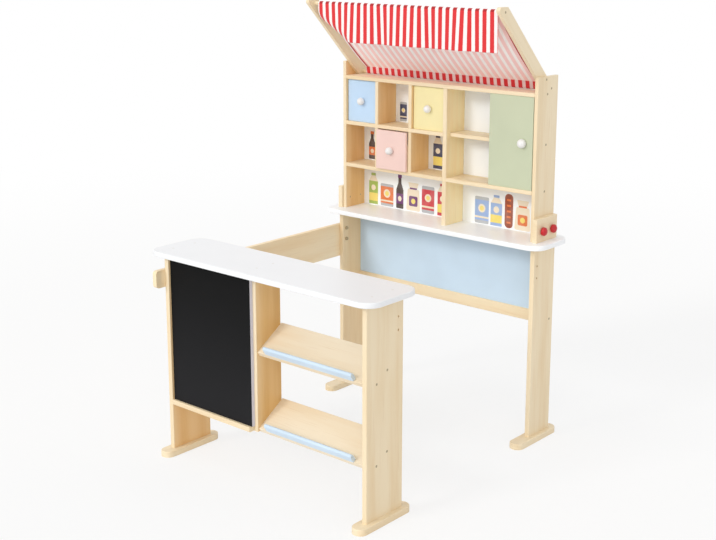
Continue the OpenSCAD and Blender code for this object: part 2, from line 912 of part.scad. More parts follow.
blue_corner = drawer_corner(0, high_floor_z, 0);
yellow_corner = drawer_corner(2, high_floor_z, 0);
pink_corner = drawer_corner(1, low_floor_z, drawer_pull);

module sliding_door() {
    color(door_green)
        difference() {
            block([door_x, door_y, door_z], [door_w, door_t, door_h]);
            spigot_hole(door_knob_x, door_y, door_z + door_h / 2, door_t);
        }
}

module sliding_door_knob() {
    color(white)
        translate([door_knob_x, door_y, door_z + door_h / 2])
            rotate([90, 0, 0])
                knob(door_knob_d, knob_h, door_t);
}

// Side outline of an awning arm: a slat cut level at both ends, its two sharp corners rounded
module arm_outline() {
    half = arm_tilt / 2;
    cut = arm_r / tan(half);
    along = [cos(arm_tilt), sin(arm_tilt)];
    front_y = arm_tip_y - arm_level_w / 2;
    back_y = arm_foot_y + arm_level_w / 2;
    tip_z = arm_z + arm_rise;
    polygon([
        [arm_foot_y - arm_level_w / 2, arm_z],
        [back_y - cut, arm_z],
        [back_y - cut * along.x, arm_z + cut * along.y],
        [arm_tip_y + arm_level_w / 2, tip_z],
        [front_y + cut, tip_z],
        [front_y + cut * along.x, tip_z - cut * along.y]]);
    translate([back_y - cut, arm_z + arm_r])
        circle(arm_r);
    translate([front_y + cut, tip_z - arm_r])
        circle(arm_r);
}

module awning_arm(s) {
    color(wood)
        drilled(awning_screw_list)
            translate([s > 0 ? arm_in : -cab_in, 0, 0])
                rotate([90, 0, 90])
                    linear_extrude(arm_t)
                        arm_outline();
}

module awning_rod(y, z, list) {
    color(wood)
        drilled(list)
            translate([-arm_in, y, z])
                rotate([0, 90, 0])
                    cylinder(d = rod_d, h = 2 * arm_in);
}

// Awning cloth: one sheet from its rear tunnel, up over the front rod and down as the valance.
// A path of points [y, z, drop] is swept across the width, drop being the fall below the front rod.
cloth_r = rod_d / 2 + cloth_gap + cloth_t / 2;
rear_rod = [rear_rod_y, rear_rod_z];
front_rod = [front_rod_y, front_rod_z];
roof_dir = front_rod - rear_rod;
roof_l = norm(roof_dir);
roof_d = roof_dir / roof_l;
roof_n = [roof_d.y, -roof_d.x];
hem_l = 20;
hem_end = cloth_r - cloth_t - 2 * cloth_gap;
hem_angle = atan2(hem_end, hem_l) - acos(cloth_r / norm([hem_l, hem_end]));
front_angle = atan2(-roof_n.x, -roof_d.x);
rear_steps = 6;
front_steps = 4;
roof_steps = 3;
valance_steps = 6;
rear_turn = 90 - 360 - hem_angle;
front_turn = front_angle - 90;
// Point round a rod at angle a, far enough out that a flat over a step of the turn clears the rod
function rod_point(c, a, step) = c + cloth_r / cos(step / 2) * (cos(a) * roof_d + sin(a) * roof_n);
function sag(f) = -4 * roof_sag * f * (1 - f);
cloth_path = concat(
    [concat(rear_rod + hem_l * roof_d + hem_end * roof_n, 0)],
    [for (i = [0 : rear_steps])
        concat(rod_point(rear_rod, 90 - (1 - i / rear_steps) * rear_turn, rear_turn / rear_steps), 0)],
    [for (i = [1 : roof_steps])
        let (f = i / (roof_steps + 1))
        concat(rear_rod + f * roof_l * roof_d + (cloth_r + sag(f)) * roof_n, 0)],
    [for (i = [0 : front_steps])
        concat(rod_point(front_rod, 90 + i / front_steps * front_turn, front_turn / front_steps), 0)],
    [for (i = [1 : valance_steps])
        let (drop = i / valance_steps * valance_h)
        [front_rod.x - cloth_r, front_rod.y - drop, drop]]);

// Columns across the cloth, closer together at the curled left corner
curl_w = 150;
curl_columns = 9;
plain_columns = 17;
cloth_x0 = cloth_left_gap - arm_in;
cloth_xs = concat(
    [for (i = [0 : curl_columns]) i / curl_columns * curl_w],
    [for (i = [1 : plain_columns]) curl_w + i / plain_columns * (cloth_w - curl_w)]);

// Curl of the left corner: its line runs up and out across the valance
curl_reach = 100;
curl_drop = 0.45 * valance_h;
curl_line = [curl_reach, valance_h - curl_drop] / norm([curl_reach, valance_h - curl_drop]);
curl_n = [-curl_line.y, curl_line.x];
fold_pitch = 190;
function curl_depth(u, d) = (u * curl_n.x) + (d - curl_drop) * curl_n.y + curl_r;
// Point of the valance at u across and d down, as [u, d, back]
function valance_point(u, d) =
    let (c = curl_depth(u, d), turn = c / curl_r * 180 / PI)
    d <= 0 || c <= 0
        ? [u, d, 0]
        : [u + (curl_r * sin(turn) - c) * curl_n.x,
            d + (curl_r * sin(turn) - c) * curl_n.y,
            curl_r * (1 - cos(turn))];
function soft_fold(u, d) = fold_depth * d / valance_h * sin(360 * u / fold_pitch);
function mid_point(u, p) =
    let (v = valance_point(u, p[2]))
    [cloth_x0 + v[0], p.x + v[2] + soft_fold(u, p[2]), p.y + p[2] - v[1]];
// Outward side of the sheet at path point i and column j, by its two neighbours in the grid
function clamp_index(i, n) = max(0, min(n - 1, i));
function sheet_normal(i, j) =
    let (
        a = mid_point(cloth_xs[j], cloth_path[clamp_index(i - 1, len(cloth_path))]),
        b = mid_point(cloth_xs[j], cloth_path[clamp_index(i + 1, len(cloth_path))]),
        c = mid_point(cloth_xs[clamp_index(j - 1, len(cloth_xs))], cloth_path[i]),
        d = mid_point(cloth_xs[clamp_index(j + 1, len(cloth_xs))], cloth_path[i]),
        n = cross(b - a, d - c))
    n / norm(n);

module awning_cloth() {
    rows = len(cloth_path);
    columns = len(cloth_xs);
    side = rows * columns;
    points = [for (k = [-1, 1], i = [0 : rows - 1], j = [0 : columns - 1])
        mid_point(cloth_xs[j], cloth_path[i]) + k * cloth_t / 2 * sheet_normal(i, j)];
    function at(k, i, j) = k * side + i * columns + j;
    faces = concat(
        [for (i = [0 : rows - 2], j = [0 : columns - 2]) each [
            [at(0, i, j), at(0, i, j + 1), at(0, i + 1, j + 1)],
            [at(0, i, j), at(0, i + 1, j + 1), at(0, i + 1, j)],
            [at(1, i, j), at(1, i + 1, j + 1), at(1, i, j + 1)],
            [at(1, i, j), at(1, i + 1, j), at(1, i + 1, j + 1)]]],
        [for (i = [0 : rows - 2]) each [
            [at(0, i, 0), at(0, i + 1, 0), at(1, i + 1, 0)],
            [at(0, i, 0), at(1, i + 1, 0), at(1, i, 0)],
            [at(0, i, columns - 1), at(1, i + 1, columns - 1), at(0, i + 1, columns - 1)],
            [at(0, i, columns - 1), at(1, i, columns - 1), at(1, i + 1, columns - 1)]]],
        [for (j = [0 : columns - 2]) each [
            [at(0, 0, j), at(1, 0, j + 1), at(0, 0, j + 1)],
            [at(0, 0, j), at(1, 0, j), at(1, 0, j + 1)],
            [at(0, rows - 1, j), at(0, rows - 1, j + 1), at(1, rows - 1, j + 1)],
            [at(0, rows - 1, j), at(1, rows - 1, j + 1), at(1, rows - 1, j)]]]);
    color(cloth_red)
        polyhedron(points, faces);
}

module screws(list) {
    color(steel)
        for (s = list)
            screw(s);
}

counter_foot(-1);  // counter_foot_left
counter_foot(1);  // counter_foot_right
counter_upright(-1);  // counter_upright_left
counter_upright(1);  // counter_upright_right
counter_top();
counter_divider();
blackboard();
blackboard_ledge();
display_shelf(0);  // display_shelf_upper
display_shelf(1);  // display_shelf_lower
stop_strip(0);  // stop_strip_upper
stop_strip(1);  // stop_strip_lower
connecting_rail();
rail_bolts();
rail_nuts();
shelf_foot(-1);  // shelf_foot_left
shelf_foot(1);  // shelf_foot_right
shelf_leg(-1);  // shelf_leg_left
shelf_leg(1);  // shelf_leg_right
shelf_top();
apron_panel();
apron_rail();
joining_plate(-1);  // joining_plate_left
joining_plate(1);  // joining_plate_right
plate_dowels();
hand_screw(-1, 0);  // hand_screw_left_front
hand_screw(-1, 1);  // hand_screw_left_rear
hand_screw(1, 0);  // hand_screw_right_front
hand_screw(1, 1);  // hand_screw_right_rear
side_panel(-1);  // side_panel_left
side_panel(1);  // side_panel_right
top_shelf();
main_divider();
column_divider(1);  // column_divider_1
column_divider(2);  // column_divider_2
row_shelf();
low_shelf_left();
low_shelf_right();
door_bay_shelf();
back_panel();
drawer_front(blue_corner, high_row_h, drawer_blue);  // drawer_blue_front
drawer_box(blue_corner, high_row_h);  // drawer_blue_box
drawer_knob(blue_corner, high_row_h);  // drawer_blue_knob
drawer_front(yellow_corner, high_row_h, drawer_yellow);  // drawer_yellow_front
drawer_box(yellow_corner, high_row_h);  // drawer_yellow_box
drawer_knob(yellow_corner, high_row_h);  // drawer_yellow_knob
drawer_front(pink_corner, low_row_h, drawer_pink);  // drawer_pink_front
drawer_box(pink_corner, low_row_h);  // drawer_pink_box
drawer_knob(pink_corner, low_row_h);  // drawer_pink_knob
sliding_door();
sliding_door_knob();
awning_arm(-1);  // awning_arm_left
awning_arm(1);  // awning_arm_right
awning_rod(front_rod_y, front_rod_z, front_rod_screws);  // awning_front_rod
awning_rod(rear_rod_y, rear_rod_z, rear_rod_screws);  // awning_rear_rod
awning_cloth();
screws(counter_screw_list);  // counter_screws
screws(base_screw_list);  // base_screws
screws(cabinet_screw_list);  // cabinet_screws
screws(awning_screw_list);  // awning_screws
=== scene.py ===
"""Looks of a toy market stall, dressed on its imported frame.

Lengths are metres in the frame's axes: X to the customer's right, -Y towards the customer, Z up.
"""

from __future__ import annotations

import logging
import math
from dataclasses import dataclass, field
from enum import Enum
from typing import Iterable, Optional, Union

import bmesh
import bpy
from mathutils import Matrix, Vector


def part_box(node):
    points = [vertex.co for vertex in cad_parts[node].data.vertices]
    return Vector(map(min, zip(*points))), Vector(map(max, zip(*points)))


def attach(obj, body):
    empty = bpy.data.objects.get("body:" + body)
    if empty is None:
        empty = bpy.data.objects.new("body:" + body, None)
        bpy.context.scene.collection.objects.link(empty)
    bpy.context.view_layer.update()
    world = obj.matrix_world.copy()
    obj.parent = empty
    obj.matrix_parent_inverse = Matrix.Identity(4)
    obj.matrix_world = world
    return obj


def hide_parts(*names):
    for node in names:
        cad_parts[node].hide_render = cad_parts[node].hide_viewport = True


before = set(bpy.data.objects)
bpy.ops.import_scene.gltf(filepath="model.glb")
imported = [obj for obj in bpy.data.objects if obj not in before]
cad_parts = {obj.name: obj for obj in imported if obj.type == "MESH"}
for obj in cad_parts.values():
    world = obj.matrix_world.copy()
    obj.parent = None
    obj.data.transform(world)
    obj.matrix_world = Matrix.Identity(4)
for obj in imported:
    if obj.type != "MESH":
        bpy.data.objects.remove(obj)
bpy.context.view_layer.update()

LOG = logging.getLogger("market_stall")

Triple = tuple[float, float, float]
Colour = Triple
Span = tuple[float, float]
Spot = tuple[float, float]
Value = Union[float, int, Triple, "Signal"]
MM = 0.001
EDGE_BLUR = 0.1 * MM
NO_TURN: Triple = (0.0, 0.0, 0.0)
WHITE: Colour = (1.0, 1.0, 1.0)

# Sockets of a Mix node for colours, by number, because its other kinds share their names.
MIX_FACTOR, MIX_A, MIX_B, MIX_RESULT = 0, 6, 7, 2


def linear(hex_code: str) -> Colour:
    """Turns a display colour into scene-linear values.

    Args:
        hex_code: Six hexadecimal digits, red first.

    Returns:
        The colour as three linear values.
    """
    parts = [int(hex_code[i:i + 2], 16) / 255 for i in (0, 2, 4)]
    return tuple(c / 12.92 if c <= 0.04045 else ((c + 0.055) / 1.055) ** 2.4 for c in parts)


def darker(colour: Colour, kept: float) -> Colour:
    """The colour with that share of its light kept."""
    return tuple(c * kept for c in colour)


class Signal:
    """A shader socket's value, on which Python arithmetic adds Math nodes."""

    def __init__(self, shader: "Shader", socket: bpy.types.NodeSocket) -> None:
        """Wraps one output socket of a shader's tree."""
        self.shader = shader
        self.socket = socket

    def math(self, operation: str, *values: Value) -> "Signal":
        """Adds a Math node.

        Args:
            operation: Name of the Math node's operation.
            values: Its operands, in order.

        Returns:
            The node's result.
        """
        return self.shader.node("ShaderNodeMath", {"operation": operation}, dict(enumerate(values)))

    def __add__(self, other: Value) -> "Signal":
        """Sum."""
        return self.math("ADD", self, other)

    def __radd__(self, other: Value) -> "Signal":
        """Sum, reflected."""
        return self.math("ADD", other, self)

    def __sub__(self, other: Value) -> "Signal":
        """Difference."""
        return self.math("SUBTRACT", self, other)

    def __rsub__(self, other: Value) -> "Signal":
        """Difference, reflected."""
        return self.math("SUBTRACT", other, self)

    def __mul__(self, other: Value) -> "Signal":
        """Product."""
        return self.math("MULTIPLY", self, other)

    def __rmul__(self, other: Value) -> "Signal":
        """Product, reflected."""
        return self.math("MULTIPLY", other, self)

    def __truediv__(self, other: Value) -> "Signal":
        """Quotient."""
        return self.math("DIVIDE", self, other)

    def fract(self) -> "Signal":
        """Fractional part."""
        return self.math("FRACT", self)

    def sine(self) -> "Signal":
        """Sine of the value in radians."""
        return self.math("SINE", self)

    def absolute(self) -> "Signal":
        """Size without sign."""
        return self.math("ABSOLUTE", self)

    def ramp(self, low: float, high: float) -> "Signal":
        """Smooth step from 0 at one value to 1 at another.

        Args:
            low: Value that gives 0.
            high: Value that gives 1.

        Returns:
            The stepped signal, from 0 to 1.
        """
        return self.shader.node(
            "ShaderNodeMapRange",
            {"interpolation_type": "SMOOTHSTEP", "clamp": True},
            {"Value": self, "From Min": low, "From Max": high},
        )

    def step(self, at: float, blur: float) -> "Signal":
        """Smooth step from 0 to 1 about a value.

        Args:
            at: Value that gives a half.
            blur: Distance from it to the values that give 0 and 1.

        Returns:
            The stepped signal, from 0 to 1.
        """
        return self.ramp(at - blur, at + blur)


@dataclass(frozen=True)
class Noise:
    """A fractal pattern.

    Attributes:
        cells: Cells to a metre, before the stretch.
        octaves: Finer layers that are added.
        rough: Strength of each layer against the one before.
        stretch: Factor on each axis of the position.
        band: Values between which a patch of the pattern grows from nothing to its full share.
    """

    cells: float
    octaves: int = 2
    rough: float = 0.5
    stretch: Triple = (1.0, 1.0, 1.0)
    band: Span = (0.0, 1.0)


class Shader:
    """The nodes of a material, or of the world, under construction."""

    def __init__(self, name: str, world: bool = False) -> None:
        """Starts an empty node tree.

        Args:
            name: Name of the material or world.
            world: Whether the nodes are a world's.
        """
        self.owner = (bpy.data.worlds if world else bpy.data.materials).new(name)
        self.owner.use_nodes = True
        self.tree = self.owner.node_tree
        self.tree.nodes.clear()
        self.end = "ShaderNodeOutputWorld" if world else "ShaderNodeOutputMaterial"

    def node(self, kind: str, settings: dict, inputs: dict, output: Union[int, str] = 0) -> Signal:
        """Adds any node.

        Args:
            kind: The node's type.
            settings: Properties that are set first.
            inputs: Values or links by socket name or number.
            output: Name or number of the output that is returned.

        Returns:
            The chosen output.
        """
        made = self.tree.nodes.new(kind)
        for key, value in settings.items():
            setattr(made, key, value)
        for key, value in inputs.items():
            self.feed(made.inputs[key], value)
        return Signal(self, made.outputs[output])

    def feed(self, socket: bpy.types.NodeSocket, value: Value) -> None:
        """Links a signal to a socket, or sets a constant on it.

        Args:
            socket: The input socket.
            value: A signal, number, vector or colour.
        """
        if isinstance(value, Signal):
            self.tree.links.new(value.socket, socket)
        elif isinstance(value, tuple) and socket.type == "RGBA":
            socket.default_value = (*value, 1.0)
        else:
            socket.default_value = value

    def place(
        self, scale: Triple = (1.0, 1.0, 1.0), turn: Triple = NO_TURN, where: Optional[Signal] = None
    ) -> Signal:
        """A position, turned and scaled.

        Args:
            scale: Factor on each axis.
            turn: Rotation in radians, before the scale.
            where: The position, or None for Object coordinates.

        Returns:
            The mapped position.
        """
        if where is None:
            where = self.node("ShaderNodeTexCoord", {}, {}, "Object")
        turned = self.node("ShaderNodeMapping", {}, {"Vector": where, "Rotation": turn})
        return self.node("ShaderNodeMapping", {}, {"Vector": turned, "Scale": scale})

    def axes(self, where: Optional[Signal] = None) -> list[Signal]:
        """Splits a position.

        Args:
            where: The position, or None for Object coordinates.

        Returns:
            Its X, Y and Z.
        """
        split = self.node("ShaderNodeSeparateXYZ", {}, {"Vector": self.place(where=where)})
        return [Signal(self, part) for part in split.socket.node.outputs]

    def noise(self, pattern: Noise, turn: Triple = NO_TURN, where: Optional[Signal] = None) -> Signal:
        """Adds a fractal pattern.

        Args:
            pattern: The pattern.
            turn: Rotation of the position in radians.
            where: The position, or None for Object coordinates.

        Returns:
            Noise around 0.5.
        """
        inputs = {
            "Vector": self.place(pattern.stretch, turn, where),
            "Scale": pattern.cells,
            "Detail": pattern.octaves,
            "Roughness": pattern.rough,
        }
        return self.node("ShaderNodeTexNoise", {"noise_dimensions": "3D"}, inputs, "Fac")

    def mix(self, factor: Value, a: Value, b: Value) -> Signal:
        """Mixes two colours.

        Args:
            factor: 0 gives the first colour, 1 the second.
            a: First colour.
            b: Second colour.

        Returns:
            The mixed colour.
        """
        inputs = {MIX_FACTOR: factor, MIX_A: a, MIX_B: b}
        return self.node("ShaderNodeMix", {"data_type": "RGBA"}, inputs, MIX_RESULT)

    def bump(self, height: Signal, strength: float, distance: float) -> Signal:
        """Normal from a height.

        Args:
            height: Height signal.
            strength: Share of the full effect.
            distance: Height of a step of 1, in metres.

        Returns:
            The bumped normal.
        """
        return self.node(
            "ShaderNodeBump", {}, {"Height": height, "Strength": strength, "Distance": distance}
        )

    def seen(self) -> Signal:
        """Mask of the rays that see the studio itself.

        Returns:
            1 for camera, glossy and transmission rays and 0 for the others.
        """
        mask = self.node("ShaderNodeLightPath", {}, {}, "Is Camera Ray")
        for kind in ("Is Glossy Ray", "Is Transmission Ray"):
            mask = mask.math("MAXIMUM", mask, self.node("ShaderNodeLightPath", {}, {}, kind))
        return mask

    def close(self, shade: Signal) -> Union[bpy.types.Material, bpy.types.World]:
        """Ends the tree.

        Args:
            shade: What the surface or the sky shows.

        Returns:
            The finished material or world.
        """
        out = self.tree.nodes.new(self.end)
        self.feed(out.inputs["Surface"], shade)
        return self.owner

    def surface(self, **sockets: Value) -> bpy.types.Material:
        """Ends a material with a Principled surface.

        Args:
            sockets: Values or signals by socket name, with underscores for spaces.

        Returns:
            The finished material.
        """
        inputs = {key.replace("_", " "): value for key, value in sockets.items()}
        return self.close(self.node("ShaderNodeBsdfPrincipled", {}, inputs))


class Grain(Enum):
    """Direction that a board's grain runs in, as the turn that brings the pattern's X to it."""

    ACROSS = (0.0, 0.0, 0.0)
    BACK = (0.0, 0.0, math.radians(-90))
    UP = (0.0, math.radians(90), 0.0)
    ARM = (math.radians(45), 0.0, math.radians(-90))


@dataclass(frozen=True)
class Inside:
    """Where a board's faces look into a compartment, behind a front edge and to the right of a plane, and
    get painted shade and bounce light.

    Attributes:
        front: Y of the board's front edge.
        left: X of the plane, which lies far to the left unless it is given.
        edge: Depth behind the front edge at which the inner faces begin.
        edge_blur: Half the width of that change.
        side: Distance to the left of the plane at which they begin.
        side_blur: Half the width of that change.
        fade: Depth over which the rest of the painted shading grows.
        edge_share: Share of the mask that is reached at the edge.
    """

    front: float
    left: float = -10.0
    edge: float = 2.0 * MM
    edge_blur: float = 0.5 * MM
    side: float = 0.6 * MM
    side_blur: float = 0.4 * MM
    fade: float = 35 * MM
    edge_share: float = 0.7

    def share(self, shader: Shader) -> Signal:
        """Mask of the painted shade and bounce light on the inner faces.

        Args:
            shader: The material under construction.

        Returns:
            0 on the front edge and outer faces, 1 on the inner faces.
        """
        across, depth, _ = shader.axes()
        behind = self.edge_share * depth.step(self.front + self.edge, self.edge_blur)
        deep = (1 - self.edge_share) * depth.ramp(self.front, self.front + self.fade)
        return (behind + deep) * across.step(self.left - self.side, self.side_blur)


@dataclass(frozen=True)
class Wood:
    """Clear lacquered light wood with a fine straight grain along its patterns' X, with painted shade and
    bounce light on any inner faces.
    """

    grain: Grain
    inside: Optional[Inside] = None
    pale: Colour = linear("F3E2C2")
    streak: Colour = linear("E5C99C")
    # Inner tones: painted shade and warm bounce light on faces that look into a compartment.
    inner_pale_shading: Colour = linear("EFC991")
    inner_streak_shading: Colour = linear("DEAC6B")
    pore: Colour = linear("BF935E")
    streaks: Noise = Noise(1.0, 5, 0.6, (1.7, 21.0, 21.0), (0.36, 0.74))
    pores: Noise = Noise(1.0, 3, 0.5, (9.0, 260.0, 260.0), (0.58, 0.78))
    clouds: Noise = Noise(1.0, 2, 0.5, (1.3, 4.0, 4.0), (0.35, 0.75))
    streak_share: float = 0.65
    cloud_share: float = 0.3
    pore_share: float = 0.2
    rough: float = 0.42
    streak_rough: float = 0.14
    pore_rough: float = 0.1
    streak_depth: float = 0.3
    pore_depth: float = 0.7

    def material(self, name: str) -> bpy.types.Material:
        """Builds the wood.

        Args:
            name: Name of the material.

        Returns:
            The material.
        """
        shader = Shader(name)
        patterns = (self.streaks, self.pores, self.clouds)
        streaks, pores, clouds = (shader.noise(p, self.grain.value).ramp(*p.band) for p in patterns)
        pale, streak = self.pale, self.streak
        if self.inside:
            # Painted shading of the inner faces.
            inner = self.inside.share(shader)
            pale = shader.mix(inner, self.pale, self.inner_pale_shading)
            streak = shader.mix(inner, self.streak, self.inner_streak_shading)
        tone = shader.mix(streaks * self.streak_share, pale, streak)
        tone = shader.mix(clouds * self.cloud_share, tone, streak)
        tone = shader.mix(pores * self.pore_share, tone, self.pore)
        relief = 1 - pores * self.pore_depth - streaks * self.streak_depth
        return shader.surface(
            Base_Color=tone,
            Roughness=self.rough + self.streak_rough * streaks + self.pore_rough * pores,
            Coat_Weight=0.1,
            Coat_Roughness=0.28,
            Normal=shader.bump(relief, strength=0.12, distance=0.4 * MM),
        )


@dataclass(frozen=True)
class Paint:
    """Rolled satin paint or lacquer on board."""

    colour: Colour
    rough: float = 0.42
    drift: float = 0.05
    coat: float = 0.1
    cloud: Noise = Noise(7.0, 3, band=(0.3, 0.75))
    cloud_share: float = 0.6
    cloud_rough: float = 0.06
    stipple: Noise = Noise(620.0)
    stipple_rough: float = 0.12

    def material(self, name: str) -> bpy.types.Material:
        """Builds the paint.

        Args:
            name: Name of the material.

        Returns:
            The material.
        """
        shader = Shader(name)
        cloud = shader.noise(self.cloud)
        stipple = shader.noise(self.stipple)
        patches = cloud.ramp(*self.cloud.band) * self.cloud_share
        return shader.surface(
            Base_Color=shader.mix(patches, self.colour, darker(self.colour, 1 - 2 * self.drift)),
            Roughness=self.rough + self.stipple_rough * (stipple - 0.5) + self.cloud_rough * cloud,
            Coat_Weight=self.coat,
            Coat_Roughness=0.3,
            Normal=shader.bump(stipple, strength=0.08, distance=0.3 * MM),
        )


@dataclass(frozen=True)
class Slate:
    """Matt blackboard paint with wiped chalk dust, on a board whose right edge is left pale."""

    edge_x: float
    foot_z: float
    head_z: float
    colour: Colour = linear("050506")
    dust: Colour = linear("2D2D30")
    edge: Colour = linear("CFCDD8")
    edge_w: float = 0.4 * MM
    wiped: Noise = Noise(1.6, 5, 0.6, (5.0, 1.0, 1.6), (0.42, 0.8))
    wipe_turn: Triple = (0.0, math.radians(24), 0.0)
    tooth: Noise = Noise(900.0)
    haze_share: float = 0.1
    tooth_share: float = 0.15
    low_lift_share: float = 0.4
    rough: float = 0.74
    haze_rough: float = 0.14

    def material(self, name: str) -> bpy.types.Material:
        """Builds the blackboard paint.

        Args:
            name: Name of the material.

        Returns:
            The material.
        """
        shader = Shader(name)
        haze = shader.noise(self.wiped, self.wipe_turn).ramp(*self.wiped.band)
        tooth = shader.noise(self.tooth)
        across, _, height = shader.axes()
        # The board gets lighter towards its foot.
        low_lift = 1 - height.ramp(self.foot_z, self.head_z)
        bare = across.step(self.edge_x - self.edge_w, EDGE_BLUR)
        haze_and_low_lift = haze * (self.haze_share + self.tooth_share * tooth) + self.low_lift_share * low_lift
        painted = shader.mix(haze_and_low_lift, self.colour, self.dust)
        return shader.surface(
            Base_Color=shader.mix(bare, painted, self.edge),
            Roughness=self.rough + self.haze_rough * haze,
            Specular_IOR_Level=0.16,
            Normal=shader.bump(tooth, strength=0.12, distance=0.3 * MM),
        )


PLATING: Colour = (0.5, 0.41, 0.27)
PLATING_METAL = 0.85


@dataclass(frozen=True)
class HandScrew:
    """Moulded plastic head with a faint spark texture on a plated shank."""

    plate_x: float
    colour: Colour = linear("C41E28")
    shank: Colour = PLATING
    rough: float = 0.28
    head_sink: float = 0.5 * MM
    spark: Noise = Noise(1500.0)
    spark_rough: float = 0.12
    flow: Noise = Noise(60.0, band=(0.35, 0.7))
    flow_share: float = 0.5
    flow_light: float = 0.82

    def material(self, name: str) -> bpy.types.Material:
        """Builds the plastic and the plating.

        Args:
            name: Name of the material.

        Returns:
            The material.
        """
        shader = Shader(name)
        spark = shader.noise(self.spark)
        flow = shader.noise(self.flow).ramp(*self.flow.band)
        across, _, _ = shader.axes()
        bare = 1 - across.absolute().step(self.plate_x - self.head_sink, EDGE_BLUR)
        head = shader.mix(flow * self.flow_share, self.colour, darker(self.colour, self.flow_light))
        return shader.surface(
            Base_Color=shader.mix(bare, head, self.shank),
            Metallic=PLATING_METAL * bare,
            Roughness=self.rough + self.spark_rough * spark,
            Normal=shader.bump(spark, strength=0.06, distance=0.2 * MM),
        )


@dataclass(frozen=True)
class Plated:
    """Yellow passivated steel, with the heads above a height enamelled white.

    The height lies far above the stall unless it is given.
    """

    white_above: float = 10.0
    colour: Colour = PLATING
    shade: Colour = (0.34, 0.27, 0.17)
    enamel: Colour = linear("E6E5E3")
    bloom: Noise = Noise(480.0, 3, 0.6, band=(0.4, 0.7))
    bloom_share: float = 0.6
    rough: float = 0.42
    bloom_rough: float = 0.2

    def material(self, name: str) -> bpy.types.Material:
        """Builds the plating.

        Args:
            name: Name of the material.

        Returns:
            The material.
        """
        shader = Shader(name)
        bloom = shader.noise(self.bloom)
        _, _, height = shader.axes()
        white = height.step(self.white_above - EDGE_BLUR, EDGE_BLUR)
        plating = shader.mix(bloom.ramp(*self.bloom.band) * self.bloom_share, self.colour, self.shade)
        return shader.surface(
            Base_Color=shader.mix(white, plating, self.enamel),
            Metallic=PLATING_METAL * (1 - white),
            Roughness=self.rough + self.bloom_rough * bloom,
        )


@dataclass(frozen=True)
class Cotton:
    """Plain weave cotton with woven stripes that follow the cloth's own flat sizes, a stitched seam band
    with painted shade at the front bend, and painted shade in the rear tunnel.
    """

    stripe: Colour
    ground: Colour
    pitch: float
    phase: float = 0.0
    # Band at the front bend: stitched seam, darkened as painted shade of the bend.
    seam_shade: Span = (0.0, 0.0)
    # Where the rear tunnel ends along the cloth; the tunnel is darkened as painted shade.
    tunnel: float = 0.0
    share: float = 0.55
    stripe_blur: float = 0.04
    seam_shade_blur: float = 0.5 * MM
    thread: float = 0.9 * MM
    fuzz: Noise = Noise(240.0, 3, 0.6)
    fuzz_share: float = 0.05
    slub: Noise = Noise(1.0, 2, 0.55, (900.0, 60.0, 1.0), (0.5, 0.8))
    slub_share: float = 0.12
    # Light kept in the seam band's painted shade.
    seam_shade_light: float = 0.6
    # Light kept in the rear tunnel's painted shade, and its share.
    tunnel_shade_light: float = 0.8
    tunnel_shade_share: float = 0.26
    rough: float = 0.84
    slub_rough: float = 0.1

    def material(self, name: str) -> bpy.types.Material:
        """Builds the cloth.

        Args:
            name: Name of the material.

        Returns:
            The material.
        """
        shader = Shader(name)
        flat = shader.node("ShaderNodeUVMap", {"uv_map": "flat"}, {})
        u, v, _ = shader.axes(flat)
        fuzz = shader.noise(self.fuzz, where=flat)
        slub = shader.noise(self.slub, where=flat)
        wave = (u / self.pitch + (fuzz - 0.5) * self.fuzz_share + self.phase).fract()
        band = ((wave - 0.5).absolute() * 2).step(1 - self.share, self.stripe_blur)
        turns = 2 * math.pi / self.thread
        weave = (u * turns).sine() * (v * turns).sine()
        # Seam band at the front bend: stitching, darkened as painted shade of the bend.
        start, end = self.seam_shade
        seam_shade_mask = v.step(start, self.seam_shade_blur) * (1 - v.step(end, self.seam_shade_blur))
        # Rear tunnel mask: painted shade under the roof.
        tunnel_shade = 1 - v.step(self.tunnel + self.seam_shade_blur, self.seam_shade_blur)
        shade = darker(self.stripe, self.seam_shade_light)
        tone = shader.mix(band, self.ground, shader.mix(seam_shade_mask, self.stripe, shade))
        tone = shader.mix(slub.ramp(*self.slub.band) * self.slub_share, tone, shade)
        tone = shader.mix(self.tunnel_shade_share * tunnel_shade, tone, darker(self.stripe, self.tunnel_shade_light))
        return shader.surface(
            Base_Color=tone,
            Roughness=self.rough + self.slub_rough * slub,
            Specular_IOR_Level=0.25,
            Sheen_Weight=0.15,
            Sheen_Roughness=0.5,
            Normal=shader.bump((weave + slub) / 2, strength=0.2, distance=0.3 * MM),
        )


def new_object(
    name: str, bm: bmesh.types.BMesh, materials: Iterable[bpy.types.Material]
) -> bpy.types.Object:
    """Turns a bmesh into a linked object at the origin.

    Args:
        name: Name of the piece.
        bm: The mesh, which is freed.
        materials: Its material slots, in order.

    Returns:
        The object.
    """
    mesh = bpy.data.meshes.new(name)
    bm.to_mesh(mesh)
    bm.free()
    for item in materials:
        mesh.materials.append(item)
    made = bpy.data.objects.new(name, mesh)
    bpy.context.scene.collection.objects.link(made)
    return made


def middle(node: str) -> Vector:
    """Centre of a CAD node's box."""
    low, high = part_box(node)
    return (low + high) / 2


def inner_shading_board(node: str, pale: str, streak: str) -> Wood:
    """Wood of an upright board whose right face looks into a compartment and gets painted shade and bounce
    light.

    Args:
        node: Name of the CAD node.
        pale: Display colour of the painted shading on the inner face.
        streak: Display colour of its streaks in that shading.

    Returns:
        The finish.
    """
    low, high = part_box(node)
    inside = Inside(low.y, high.x)
    return Wood(Grain.UP, inside, inner_pale_shading=linear(pale), inner_streak_shading=linear(streak))


def slate() -> Slate:
    """Blackboard paint fitted to the board's right edge and height."""
    low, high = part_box("blackboard")
    return Slate(high.x, low.z, high.z)


